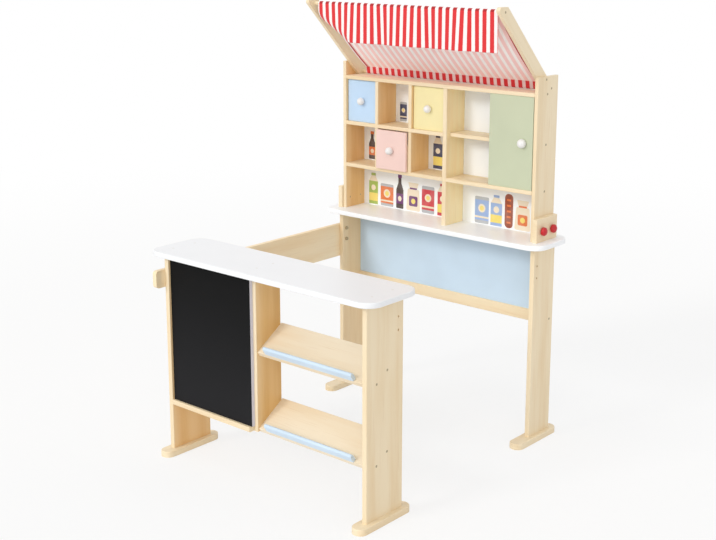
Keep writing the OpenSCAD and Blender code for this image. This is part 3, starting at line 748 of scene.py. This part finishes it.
# Painted shade and bounce light tones of the inner faces, by board.
INNER_SHADING_BOARDS: dict[str, tuple[str, str]] = {
    "counter_upright_left": ("EFC991", "DEAC6B"),
    "counter_divider": ("E3BA7C", "D09E58"),
    "side_panel_left": ("EFC991", "DEAC6B"),
    "shelf_leg_left": ("F2D9B0", "E4C08C"),
}
CABINET_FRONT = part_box("main_divider")[0].y
LID_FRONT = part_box("top_shelf")[0].y
SCREWED_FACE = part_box("joining_plate_right")[1].x
COUNTER_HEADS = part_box("counter_top")[1].z - 1.0 * MM
BEECH_UP = Wood(Grain.UP)
# Cells get painted shade on their inner faces; the bay's divider and the lid get lighter, warm painted
# bounce light.
BEECH_CELL = Wood(Grain.UP, Inside(CABINET_FRONT))
BEECH_BAY = Wood(Grain.UP, Inside(CABINET_FRONT), inner_pale_shading=linear("FFEDBC"), inner_streak_shading=linear("FCD898"))
BEECH_RAIL = Wood(Grain.BACK, pale=linear("FAE6C2"), streak=linear("EECE9E"))
BEECH_ACROSS = Wood(Grain.ACROSS)
BEECH_SLOPE = Wood(Grain.ACROSS, pale=linear("F2E6CF"), streak=linear("E7D1AE"))
BEECH_LID = Wood(
    Grain.ACROSS, Inside(LID_FRONT), inner_pale_shading=linear("FFF4E0"), inner_streak_shading=linear("F9E4C4")
)
BEECH_BACK = Wood(Grain.BACK)
BEECH_ARM = Wood(Grain.ARM)
WHITE_TOP = Paint(linear("F0F2F5"), rough=0.35, drift=0.012, coat=0.2)
WHITE_SHELF = Paint(linear("FAFCFF"), rough=0.35, drift=0.012, coat=0.2)
WHITE_BOARD = Paint(linear("FAFDFF"), rough=0.5, drift=0.012, coat=0.0)
WHITE_KNOB = Paint(linear("ECEBEA"), rough=0.3, drift=0.01, coat=0.25)
APRON_BLUE = Paint(linear("CBE0F2"), rough=0.45)
STRIP_BLUE = Paint(linear("CFE3F6"), rough=0.42)
DRAWER_BLUE = Paint(linear("C1DBF5"))
DRAWER_YELLOW = Paint(linear("F4E7AF"))
DRAWER_PINK = Paint(linear("F1D0C7"))
DOOR_GREEN = Paint(linear("C6CDB0"))

Finish = Union[Wood, Paint, Slate, HandScrew, Plated]
NODE_FINISH: dict[str, Finish] = {
    **dict.fromkeys(
        ("counter_upright_right", "shelf_leg_right", "side_panel_right", "plate_dowels"), BEECH_UP
    ),
    **dict.fromkeys(("column_divider_1", "column_divider_2"), BEECH_CELL),
    "main_divider": BEECH_BAY,
    "connecting_rail": BEECH_RAIL,
    **{node: inner_shading_board(node, *tones) for node, tones in INNER_SHADING_BOARDS.items()},
    "top_shelf": BEECH_LID,
    **dict.fromkeys(
        ("blackboard_ledge", "apron_rail", "row_shelf", "low_shelf_left", "low_shelf_right",
         "door_bay_shelf", "awning_front_rod", "awning_rear_rod", "drawer_blue_box", "drawer_yellow_box",
         "drawer_pink_box"),
        BEECH_ACROSS,
    ),
    **dict.fromkeys(("display_shelf_upper", "display_shelf_lower"), BEECH_SLOPE),
    **dict.fromkeys(
        ("counter_foot_left", "counter_foot_right", "shelf_foot_left", "shelf_foot_right",
         "joining_plate_left", "joining_plate_right"),
        BEECH_BACK,
    ),
    **dict.fromkeys(("awning_arm_left", "awning_arm_right"), BEECH_ARM),
    "counter_top": WHITE_TOP,
    "shelf_top": WHITE_SHELF,
    "back_panel": WHITE_BOARD,
    "blackboard": slate(),
    "apron_panel": APRON_BLUE,
    **dict.fromkeys(("stop_strip_upper", "stop_strip_lower"), STRIP_BLUE),
    "drawer_blue_front": DRAWER_BLUE,
    "drawer_yellow_front": DRAWER_YELLOW,
    "drawer_pink_front": DRAWER_PINK,
    "sliding_door": DOOR_GREEN,
    **dict.fromkeys(
        ("drawer_blue_knob", "drawer_yellow_knob", "drawer_pink_knob", "sliding_door_knob"), WHITE_KNOB
    ),
    **dict.fromkeys(
        ("hand_screw_left_front", "hand_screw_left_rear", "hand_screw_right_front",
         "hand_screw_right_rear"),
        HandScrew(SCREWED_FACE),
    ),
    **dict.fromkeys(
        ("rail_bolts", "rail_nuts", "base_screws", "cabinet_screws", "awning_screws"), Plated()
    ),
    "counter_screws": Plated(COUNTER_HEADS),
}


@dataclass
class Woodwork:
    """The CAD boards and fittings, which keep their shapes and get their finishes."""

    made: dict[Finish, bpy.types.Material] = field(default_factory=dict)

    def material(self, finish: Finish) -> bpy.types.Material:
        """Gives a finish's material, which is made at its first use.

        Args:
            finish: The finish.

        Returns:
            Its one material.
        """
        if finish not in self.made:
            kind = type(finish).__name__.lower()
            self.made[finish] = finish.material(f"{kind}_{len(self.made):02d}")
        return self.made[finish]

    def dress(self) -> None:
        """Gives every CAD node its finish."""
        for node, finish in NODE_FINISH.items():
            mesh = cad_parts[node].data
            mesh.materials.clear()
            mesh.materials.append(self.material(finish))
        LOG.info("dressed %d nodes in %d finishes", len(NODE_FINISH), len(self.made))


@dataclass
class Awning:
    """One striped cloth from its rear tunnel up over the front rod and down as the valance.

    The valance's left corner curls back about a line, which leaves the left edge at curl_from of the
    valance's height and meets the foot at curl_reach. Each side of the roof has a narrow hem inside.
    """

    left_gap: float = 20 * MM
    right_gap: float = 8 * MM
    cloth_t: float = 0.9 * MM
    rod_gap: float = 0.4 * MM
    hem_l: float = 20 * MM
    hem_gap: float = 0.6 * MM
    sag: float = 9 * MM
    valance_h: float = 112 * MM
    fold_depth: float = 5 * MM
    fold_pitch: float = 190 * MM
    ripple_depth: float = 2.2 * MM
    ripple_pitch: float = 81.7 * MM
    ripple_phase: float = 1.1
    ripple_rise: float = 200 * MM
    curl_r: float = 30 * MM
    curl_reach: float = 100 * MM
    curl_from: float = 0.45
    stripes: float = 26.2
    last_stripe: float = 0.76
    # Width of the seam band with painted shade at the front bend.
    seam_shade_w: float = 9 * MM
    columns: int = 220
    rows: int = 170
    side_hem: float = 12 * MM
    side_hem_edge: float = 0.5 * MM
    side_hem_start: float = 4 * MM
    side_hem_short: float = 12 * MM
    side_hem_lift: float = -1.3 * MM
    side_hem_cells: tuple[int, int] = (4, 60)
    slope_step: float = 0.4 * MM
    printed: tuple[Colour, Colour] = (linear("DB3539"), linear("F8F0EE"))
    # Reverse of the print, raised paler and pinker as painted light that stands for light passing through
    # the cloth.
    back: tuple[Colour, Colour] = (linear("FFD4D2"), linear("FFFAF8"))
    turned: tuple[Colour, Colour] = (linear("C02A34"), linear("F6E6E3"))

    def __post_init__(self) -> None:
        """Reads the rods and works out the path that the cloth follows."""
        low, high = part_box("awning_front_rod")
        self.front = middle("awning_front_rod").yz
        self.rear = middle("awning_rear_rod").yz
        self.radius = (high.z - low.z) / 2 + self.rod_gap + self.cloth_t / 2
        self.x0 = low.x + self.left_gap
        self.width = high.x - low.x - self.left_gap - self.right_gap
        roof = self.front - self.rear
        self.along = roof.normalized()
        self.out = Vector((self.along.y, -self.along.x))
        end = self.radius - self.cloth_t - self.hem_gap
        self.hem_end = Vector((self.hem_l, end))
        self.hem_angle = math.atan2(end, self.hem_l) - math.acos(self.radius / self.hem_end.length)
        hem_run = math.sqrt(self.hem_end.length_squared - self.radius ** 2)
        self.rear_turn = 2 * math.pi + self.hem_angle - math.pi / 2
        self.front_turn = math.pi / 2 - math.atan2(-self.out.x, -self.along.x)
        self.runs = [hem_run, self.rear_turn * self.radius, roof.length,
                     self.front_turn * self.radius, self.valance_h]
        self.length = sum(self.runs)
        self.curl_drop = self.curl_from * self.valance_h
        line = Vector((self.curl_reach, self.valance_h - self.curl_drop)).normalized()
        self.curl_n = Vector((-line.y, line.x))

    def _round(self, centre: Vector, angle: float) -> Vector:
        """Point on the cloth's way round a rod, by its angle from the roof's direction."""
        return centre + self.radius * (math.cos(angle) * self.along + math.sin(angle) * self.out)

    def path(self, s: float) -> tuple[Vector, float]:
        """Point of the cloth's side outline.

        Args:
            s: Distance along the cloth from the end of its rear hem.

        Returns:
            The point as (y, z), and how far it hangs below the front rod.
        """
        hem, turn, roof, bend, _ = self.runs
        if s < hem:
            start = self.rear + self.hem_end.x * self.along + self.hem_end.y * self.out
            return start.lerp(self._round(self.rear, self.hem_angle), s / hem), 0.0
        s -= hem
        if s < turn:
            angle = 2 * math.pi + self.hem_angle - s / turn * self.rear_turn
            return self._round(self.rear, angle), 0.0
        s -= turn
        if s < roof:
            f = s / roof
            dip = self.radius - 4 * self.sag * f * (1 - f)
            return self.rear + f * roof * self.along + dip * self.out, 0.0
        s -= roof
        if s < bend:
            return self._round(self.front, math.pi / 2 - s / bend * self.front_turn), 0.0
        s -= bend
        return Vector((self.front.x - self.radius, self.front.y - s)), s

    def hang(self, u: float, d: float) -> Vector:
        """Where the valance hangs, with its curled left corner and soft folds.

        Args:
            u: Distance across the cloth from its left edge.
            d: Distance below the front rod.

        Returns:
            The offset in the frame's axes from the flat valance.
        """
        share = d / self.valance_h
        fold = self.fold_depth * share * math.sin(2 * math.pi * u / self.fold_pitch)
        wave = 2 * math.pi * u / self.ripple_pitch + self.ripple_phase
        ripple = self.ripple_depth * share * math.sin(wave) * min(1.0, u / self.ripple_rise)
        offset = Vector((0.0, fold + ripple, 0.0))
        depth = u * self.curl_n.x + (d - self.curl_drop) * self.curl_n.y + self.curl_r
        if d > 0 and depth > 0:
            turn = depth / self.curl_r
            slide = self.curl_r * math.sin(turn) - depth
            back = self.curl_r * (1 - math.cos(turn))
            offset += Vector((slide * self.curl_n.x, back, -slide * self.curl_n.y))
        return offset

    def point(self, u: float, s: float) -> Vector:
        """Place of the cloth's middle surface.

        Args:
            u: Distance across the cloth from its left edge.
            s: Distance along it from its rear hem.

        Returns:
            The point in the frame's axes.
        """
        side, drop = self.path(s)
        place = Vector((self.x0 + u, side.x, side.y))
        if drop > 0:
            place += self.hang(u, drop)
        return place

    def lifted(self, u: float, s: float, lift: float) -> Vector:
        """Place off the cloth, measured square to its own slope.

        Args:
            u: Distance across the cloth from its left edge.
            s: Distance along it from its rear hem.
            lift: Distance off its middle surface, towards the printed side.

        Returns:
            The point in the frame's axes.
        """
        step = self.slope_step
        across = self.point(u + step, s) - self.point(u - step, s)
        run = self.point(u, min(self.length, s + step)) - self.point(u, max(0.0, s - step))
        return self.point(u, s) + lift * run.cross(across).normalized()

    def sheet(
        self, name: str, span: Span, reach: Span, cells: tuple[int, int], lift: float,
        finishes: list[bpy.types.Material], fold: Optional[float] = None,
    ) -> bpy.types.Object:
        """Makes a stretch of the cloth as a grid with its flat sizes in a UV map.

        Args:
            name: Name of the piece.
            span: From and to across the cloth.
            reach: From and to along the cloth.
            cells: Cells across and along.
            lift: Distance off the cloth's middle surface, outwards.
            finishes: Face and back material.
            fold: Edge over which the stretch is folded to the inside, where it is a hem.

        Returns:
            The piece.
        """
        bm = bmesh.new()
        bmesh.ops.create_grid(bm, x_segments=cells[0], y_segments=cells[1], size=0.5)
        flat = bm.loops.layers.uv.new("flat")
        sizes = {}
        for vert in bm.verts:
            u = span[0] + (vert.co.x + 0.5) * (span[1] - span[0])
            s = reach[0] + (vert.co.y + 0.5) * (reach[1] - reach[0])
            sizes[vert] = (u, s)
        for face in bm.faces:
            face.smooth = True
            for loop in face.loops:
                u, s = sizes[loop.vert]
                loop[flat].uv = (u if fold is None else 2 * fold - u, s)
        for vert, (u, s) in sizes.items():
            vert.co = self.lifted(u, s, lift)
        if fold is None:
            bmesh.ops.reverse_faces(bm, faces=bm.faces)
        piece = new_object(name, bm, finishes)
        thick = piece.modifiers.new("thickness", "SOLIDIFY")
        thick.thickness = self.cloth_t
        thick.offset = 0.0
        thick.use_even_offset = True
        thick.material_offset = len(finishes) - 1
        return piece

    def build(self) -> None:
        """Makes the cloth and its two side hems and hangs them on the stall."""
        hem, turn, roof, bend, _ = self.runs
        pitch = self.width / self.stripes
        phase = (self.last_stripe - self.stripes) % 1
        front = hem + turn + roof + bend
        # The printed face gets painted shade in the seam band at the front bend and in the rear tunnel.
        seam_shade = (front - self.seam_shade_w, front)
        printed = Cotton(*self.printed, pitch, phase, seam_shade, hem + turn).material("cotton_printed")
        back = Cotton(*self.back, pitch, phase).material("cotton_back")
        turned = Cotton(*self.turned, pitch, phase).material("cotton_turned")
        cloth = self.sheet("awning_cloth_dressed", (0.0, self.width), (0.0, self.length),
                           (self.columns, self.rows), 0.0, [printed, back])
        start = hem + turn + self.side_hem_start
        reach = (start, start + roof - self.side_hem_short)
        near, far = self.side_hem_edge, self.side_hem
        spans = {"left": (near, far), "right": (self.width - far, self.width - near)}
        folds = {"left": 0.0, "right": self.width}
        hems = [self.sheet(f"awning_hem_{side}", span, reach, self.side_hem_cells, self.side_hem_lift,
                           [turned], folds[side])
                for side, span in spans.items()]
        for piece in (cloth, *hems):
            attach(piece, "stall")
        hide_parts("awning_cloth")
        LOG.info("awning cloth %.3f by %.3f m", self.width, self.length)


@dataclass(frozen=True)
class Ink:
    """A flat printing ink on white board."""

    colour: Colour
    screen: Noise = Noise(1100.0)
    screen_share: float = 0.25
    drift: Noise = Noise(35.0, band=(0.3, 0.75))
    drift_share: float = 0.6
    paper: float = 0.85
    fading: float = 0.16
    rough: float = 0.5
    screen_rough: float = 0.1

    def material(self, name: str) -> bpy.types.Material:
        """Builds the ink with a faint screen texture.

        Args:
            name: Name of the material.

        Returns:
            The material.
        """
        shader = Shader(name)
        screen = shader.noise(self.screen)
        drift = shader.noise(self.drift).ramp(*self.drift.band)
        faded = tuple(c + (self.paper - c) * self.fading for c in self.colour)
        worn = drift * self.drift_share + screen * self.screen_share
        return shader.surface(
            Base_Color=shader.mix(worn, self.colour, faded),
            Roughness=self.rough + self.screen_rough * screen,
        )


class Tint(Enum):
    """Inks of the printed groceries."""

    RED = "CE2F39"
    ORANGE = "E2742F"
    RUST = "98421F"
    STRAW = "F2DC6E"
    LEAF = "A3BC50"
    SKY = "97B2E0"
    NAVY = "262E58"
    PLUM = "6C2C70"
    CREAM = "F0E2C9"
    GREY = "B6B9BE"
    COCOA = "43302A"


@dataclass(frozen=True)
class Stand:
    """Where a printed product stands on the board, in metres, and its size in millimetres."""

    x: float
    z: float
    wide: float
    high: float

    def up(self, share: float) -> Spot:
        """Point on the product's middle line at a share of its height."""
        return self.x, self.z + share * self.high * MM

    def size(self, wide: float, high: float) -> Spot:
        """Size of a detail by its shares of the product's width and height."""
        return wide * self.wide, high * self.high

    def circle(self, wide: float) -> Spot:
        """Size of a round detail by its share of the product's width."""
        return wide * self.wide, wide * self.wide


@dataclass
class PrintedGoods:
    """Simple groceries printed on the cabinet's back: cartons, bottles, tins, sacks and a loaf."""

    film: float = 0.12 * MM
    layer: float = 0.1 * MM
    board_gap: float = 0.02 * MM
    rise: float = 3 * MM
    corner_cuts: int = 5
    disc_sides: int = 28
    crust_cuts: int = 5

    def __post_init__(self) -> None:
        """Finds the printed board's front face and makes the inks."""
        self.face_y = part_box("back_panel")[0].y
        self.inks = {tint: Ink(linear(tint.value)).material(f"ink_{tint.name.lower()}") for tint in Tint}
        self.bm = bmesh.new()

    def _lay(self, made: list[bmesh.types.BMVert], at: Spot, tint: Tint, depth: int) -> None:
        """Lays a flat outline on the board as a thin film.

        Args:
            made: Vertices of the outline, in the XZ plane.
            at: Place of the outline's own origin on the board, in metres.
            tint: Ink.
            depth: Layer, from 0 at the board.
        """
        faces = list({f for v in made for f in v.link_faces})
        for f in faces:
            f.material_index = list(Tint).index(tint)
        grown = bmesh.ops.extrude_face_region(self.bm, geom=faces)
        lifted = [g for g in grown["geom"] if isinstance(g, bmesh.types.BMVert)]
        back = self.face_y - self.board_gap - depth * self.layer
        bmesh.ops.translate(self.bm, verts=made, vec=(at[0], back, at[1]))
        bmesh.ops.translate(self.bm, verts=lifted, vec=(at[0], back - self.film, at[1]))

    def _upright(self, made: list[bmesh.types.BMVert], wide: float, high: float) -> None:
        """Stands a flat outline up in the XZ plane and scales it.

        Args:
            made: Vertices of the outline, in the XY plane.
            wide: Factor on its width.
            high: Factor on its height.
        """
        upright = Matrix.Rotation(math.radians(90), 3, "X")
        bmesh.ops.rotate(self.bm, verts=made, cent=(0, 0, 0), matrix=upright)
        bmesh.ops.scale(self.bm, verts=made, vec=(wide, 1, high))

    def block(
        self, at: Spot, size: Spot, tint: Tint, depth: int = 0, soft: float = 0.0, taper: float = 1.0
    ) -> None:
        """Prints an upright shape with its foot at a point.

        Args:
            at: Middle of the foot on the board, in metres.
            size: Width and height in millimetres.
            tint: Ink.
            depth: Layer.
            soft: Corner radius in millimetres.
            taper: Width at the top against the foot.
        """
        wide, high = size[0] * MM, size[1] * MM
        made = bmesh.ops.create_grid(self.bm, x_segments=1, y_segments=1, size=0.5)["verts"]
        self._upright(made, wide, high)
        bmesh.ops.translate(self.bm, verts=made, vec=(0, 0, high / 2))
        for vert in made:
            if vert.co.z > high / 2:
                vert.co.x *= taper
        if soft > 0:
            done = bmesh.ops.bevel(
                self.bm, geom=made, offset=soft * MM, offset_type="OFFSET", segments=self.corner_cuts,
                profile=0.5, affect="VERTICES", material=-1,
            )
            rounded = {v for f in done["faces"] for v in f.verts} | set(done["verts"])
            made = list({v for seed in rounded for f in seed.link_faces for v in f.verts})
        self._lay(made, at, tint, depth)

    def disc(self, at: Spot, size: Spot, tint: Tint, depth: int = 0) -> None:
        """Prints an oval about a point.

        Args:
            at: Centre on the board, in metres.
            size: Width and height in millimetres.
            tint: Ink.
            depth: Layer.
        """
        made = bmesh.ops.create_circle(
            self.bm, cap_ends=True, segments=self.disc_sides, radius=0.5 * MM
        )["verts"]
        self._upright(made, *size)
        self._lay(made, at, tint, depth)

    def tin(self, at: Stand, tint: Tint) -> None:
        """Prints a food tin with a paper band and a round seal.

        Args:
            at: Its place and size.
            tint: Ink of the band.
        """
        self.block(at.up(0), at.size(1, 1), Tint.GREY, soft=4)
        self.block(at.up(0.12), at.size(1, 0.76), tint, depth=1)
        self.block(at.up(0.2), at.size(1, 0.07), Tint.CREAM, depth=2)
        self.disc(at.up(0.57), at.circle(0.52), Tint.CREAM, depth=2)
        self.disc(at.up(0.57), at.circle(0.3), Tint.STRAW, depth=3)

    def carton(self, at: Stand, tint: Tint) -> None:
        """Prints a gable-topped drink carton with a bright band.

        Args:
            at: Its place and size.
            tint: Ink of the body and the ridge.
        """
        self.block(at.up(0), at.size(1, 0.74), tint)
        self.block(at.up(0.74), at.size(1, 0.18), Tint.CREAM, taper=0.45)
        self.block(at.up(0.92), at.size(0.5, 0.08), tint)
        self.block(at.up(0.1), at.size(1, 0.26), Tint.STRAW, depth=1)
        self.disc(at.up(0.53), at.circle(0.5), Tint.CREAM, depth=1)

    def bottle(self, at: Stand, tint: Tint, label: Tint) -> None:
        """Prints a bottle with sloping shoulders, a cap and a label.

        Args:
            at: Its place and size.
            tint: Ink of the bottle.
            label: Ink of the label and the cap.
        """
        self.block(at.up(0), at.size(1, 0.58), tint, soft=3)
        self.block(at.up(0.55), at.size(1, 0.2), tint, depth=1, taper=0.42)
        self.block(at.up(0.75), at.size(0.42, 0.17), tint, depth=1)
        self.block(at.up(0.9), at.size(0.54, 0.1), label, depth=2, soft=1.5)
        self.block(at.up(0.14), at.size(1, 0.3), label, depth=1)
        self.disc(at.up(0.29), at.size(0.5, 0.16), Tint.CREAM, depth=2)

    def loaf(self, at: Stand) -> None:
        """Prints a long loaf standing on its end, with cuts in its crust.

        Args:
            at: Its place and size.
        """
        self.block(at.up(0), at.size(1, 1), Tint.RUST, soft=13)
        for step in range(self.crust_cuts):
            self.block(at.up(0.13 + 0.165 * step), at.size(0.5, 0.06), Tint.ORANGE, depth=1, soft=2)

    def sack(self, at: Stand, tint: Tint) -> None:
        """Prints a tied paper sack with a label.

        Args:
            at: Its place and size.
            tint: Ink of the tie and the label.
        """
        self.block(at.up(0), at.size(1, 0.78), Tint.CREAM, soft=7, taper=0.8)
        self.block(at.up(0.76), at.size(0.5, 0.06), tint, depth=1)
        self.block(at.up(0.81), at.size(0.56, 0.19), Tint.CREAM, soft=2, taper=1.3)
        self.block(at.up(0.16), at.size(0.6, 0.36), tint, depth=1, soft=5)
        self.disc(at.up(0.34), at.circle(0.3), Tint.STRAW, depth=2)

    def publish(self, name: str) -> None:
        """Ends one print, fixes it to the stall and starts the next.

        Args:
            name: Name of the print.
        """
        bmesh.ops.recalc_face_normals(self.bm, faces=self.bm.faces)
        piece = new_object(name, self.bm, self.inks.values())
        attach(piece, "stall")
        LOG.info("printed %s, %d faces", name, len(piece.data.polygons))
        self.bm = bmesh.new()

    def build(self) -> None:
        """Prints the groceries of each open bay and compartment."""
        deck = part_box("shelf_top")[1].z + self.rise
        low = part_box("low_shelf_left")[1].z + self.rise
        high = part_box("row_shelf")[1].z + self.rise
        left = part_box("side_panel_left")[1].x
        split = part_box("main_divider")[1].x
        one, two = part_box("column_divider_1")[1].x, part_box("column_divider_2")[1].x
        self.carton(Stand(left + 40 * MM, deck, 38, 104), Tint.LEAF)
        self.tin(Stand(left + 98 * MM, deck, 54, 74), Tint.ORANGE)
        self.bottle(Stand(left + 152 * MM, deck, 30, 112), Tint.COCOA, Tint.PLUM)
        self.sack(Stand(left + 208 * MM, deck, 58, 92), Tint.PLUM)
        self.tin(Stand(left + 268 * MM, deck, 50, 88), Tint.RED)
        self.carton(Stand(left + 325 * MM, deck, 38, 104), Tint.RED)
        self.publish("print_left_bay")
        self.tin(Stand(split + 72 * MM, deck, 52, 84), Tint.SKY)
        self.carton(Stand(split + 126 * MM, deck, 42, 96), Tint.SKY)
        self.loaf(Stand(split + 172 * MM, deck, 30, 106))
        self.sack(Stand(split + 222 * MM, deck, 58, 92), Tint.ORANGE)
        self.bottle(Stand(split + 274 * MM, deck, 30, 112), Tint.RUST, Tint.RED)
        self.publish("print_right_bay")
        self.bottle(Stand(left + 34 * MM, low, 28, 92), Tint.COCOA, Tint.ORANGE)
        self.publish("print_column_1_low")
        self.tin(Stand(one + 30 * MM, high, 28, 62), Tint.NAVY)
        self.publish("print_column_2_high")
        self.carton(Stand(two + 36 * MM, low, 36, 108), Tint.NAVY)
        self.publish("print_column_3_low")
        self.bm.free()


@dataclass(frozen=True)
class Lamp:
    """A wide soft light from far away."""

    name: str
    turn: float
    height: float
    level: float
    spread: float
    colour: Colour = (1.0, 0.99, 0.97)

    def build(self) -> None:
        """Hangs the lamp: its level is the brightness of a white board that faces it."""
        data = bpy.data.lights.new(self.name, "SUN")
        data.energy = self.level * math.pi
        data.angle = math.radians(self.spread)
        data.color = self.colour
        made = bpy.data.objects.new(self.name, data)
        made.rotation_euler = (math.radians(90 - self.height), 0.0, math.radians(self.turn))
        bpy.context.scene.collection.objects.link(made)


@dataclass
class Studio:
    """White floor, soft light and the photograph's camera."""

    place: Triple = (2.2831, -2.6562, 1.5)
    turn: float = 40.9
    tilt: float = 12.844
    focal_px: float = 1241.57
    axis_v: float = 216.0
    frame_px: tuple[int, int] = (716, 540)
    sensor: float = 36.0
    clip_end: float = 200.0
    sky: float = 0.53
    floor_size: float = 60.0
    floor_grey: Colour = (0.9, 0.9, 0.9)
    floor_glow: float = 0.72
    floor_fade: Span = (1.6, 5.0)
    lamps: tuple[Lamp, ...] = (
        Lamp("key", turn=-16.0, height=27.0, level=0.31, spread=16.0),
        Lamp("top", turn=0.0, height=78.0, level=0.25, spread=90.0),
        Lamp("right", turn=40.0, height=16.0, level=0.22, spread=50.0),
    )

    def camera(self) -> None:
        """Sets the camera at the photograph's viewing angle."""
        data = bpy.data.cameras.new("camera")
        data.sensor_width = self.sensor
        data.lens = self.focal_px * self.sensor / self.frame_px[0]
        data.shift_y = (self.axis_v - self.frame_px[1] / 2) / self.frame_px[0]
        data.clip_end = self.clip_end
        made = bpy.data.objects.new("camera", data)
        made.location = self.place
        made.rotation_euler = (math.radians(90 - self.tilt), 0.0, math.radians(self.turn))
        bpy.context.scene.collection.objects.link(made)
        bpy.context.scene.camera = made

    def light(self) -> None:
        """Hangs the lamps under an even sky that looks white."""
        for lamp in self.lamps:
            lamp.build()
        world = Shader("studio", world=True)
        strength = self.sky + (1 - self.sky) * world.seen()
        sky = world.node("ShaderNodeBackground", {}, {"Color": WHITE, "Strength": strength})
        bpy.context.scene.world = world.close(sky)

    def floor(self) -> None:
        """Lays a white floor that keeps a soft shadow near the stall and is plain white farther off."""
        bm = bmesh.new()
        bmesh.ops.create_grid(bm, x_segments=1, y_segments=1, size=self.floor_size)
        shader = Shader("studio_floor")
        diffuse = shader.node("ShaderNodeBsdfDiffuse", {}, {"Color": self.floor_grey})
        glow = shader.node("ShaderNodeEmission", {}, {"Color": WHITE, "Strength": 1.0})
        reach = shader.node("ShaderNodeVectorMath", {"operation": "LENGTH"}, {0: shader.place()}, "Value")
        whiter = self.floor_glow + (1 - self.floor_glow) * reach.ramp(*self.floor_fade)
        blend = shader.node("ShaderNodeMixShader", {}, {0: shader.seen() * whiter, 1: diffuse, 2: glow})
        new_object("studio_floor", bm, [shader.close(blend)])

    def build(self) -> None:
        """Sets up the camera, the light and the floor."""
        self.camera()
        self.light()
        self.floor()
        bpy.context.scene.view_settings.view_transform = "Standard"
        LOG.info("studio set")


def main() -> None:
    """Builds the studio and dresses the stall."""
    logging.basicConfig(level=logging.INFO, format="%(name)s: %(message)s")
    Studio().build()
    Woodwork().dress()
    Awning().build()
    PrintedGoods().build()


if __name__ == "__main__":
    main()
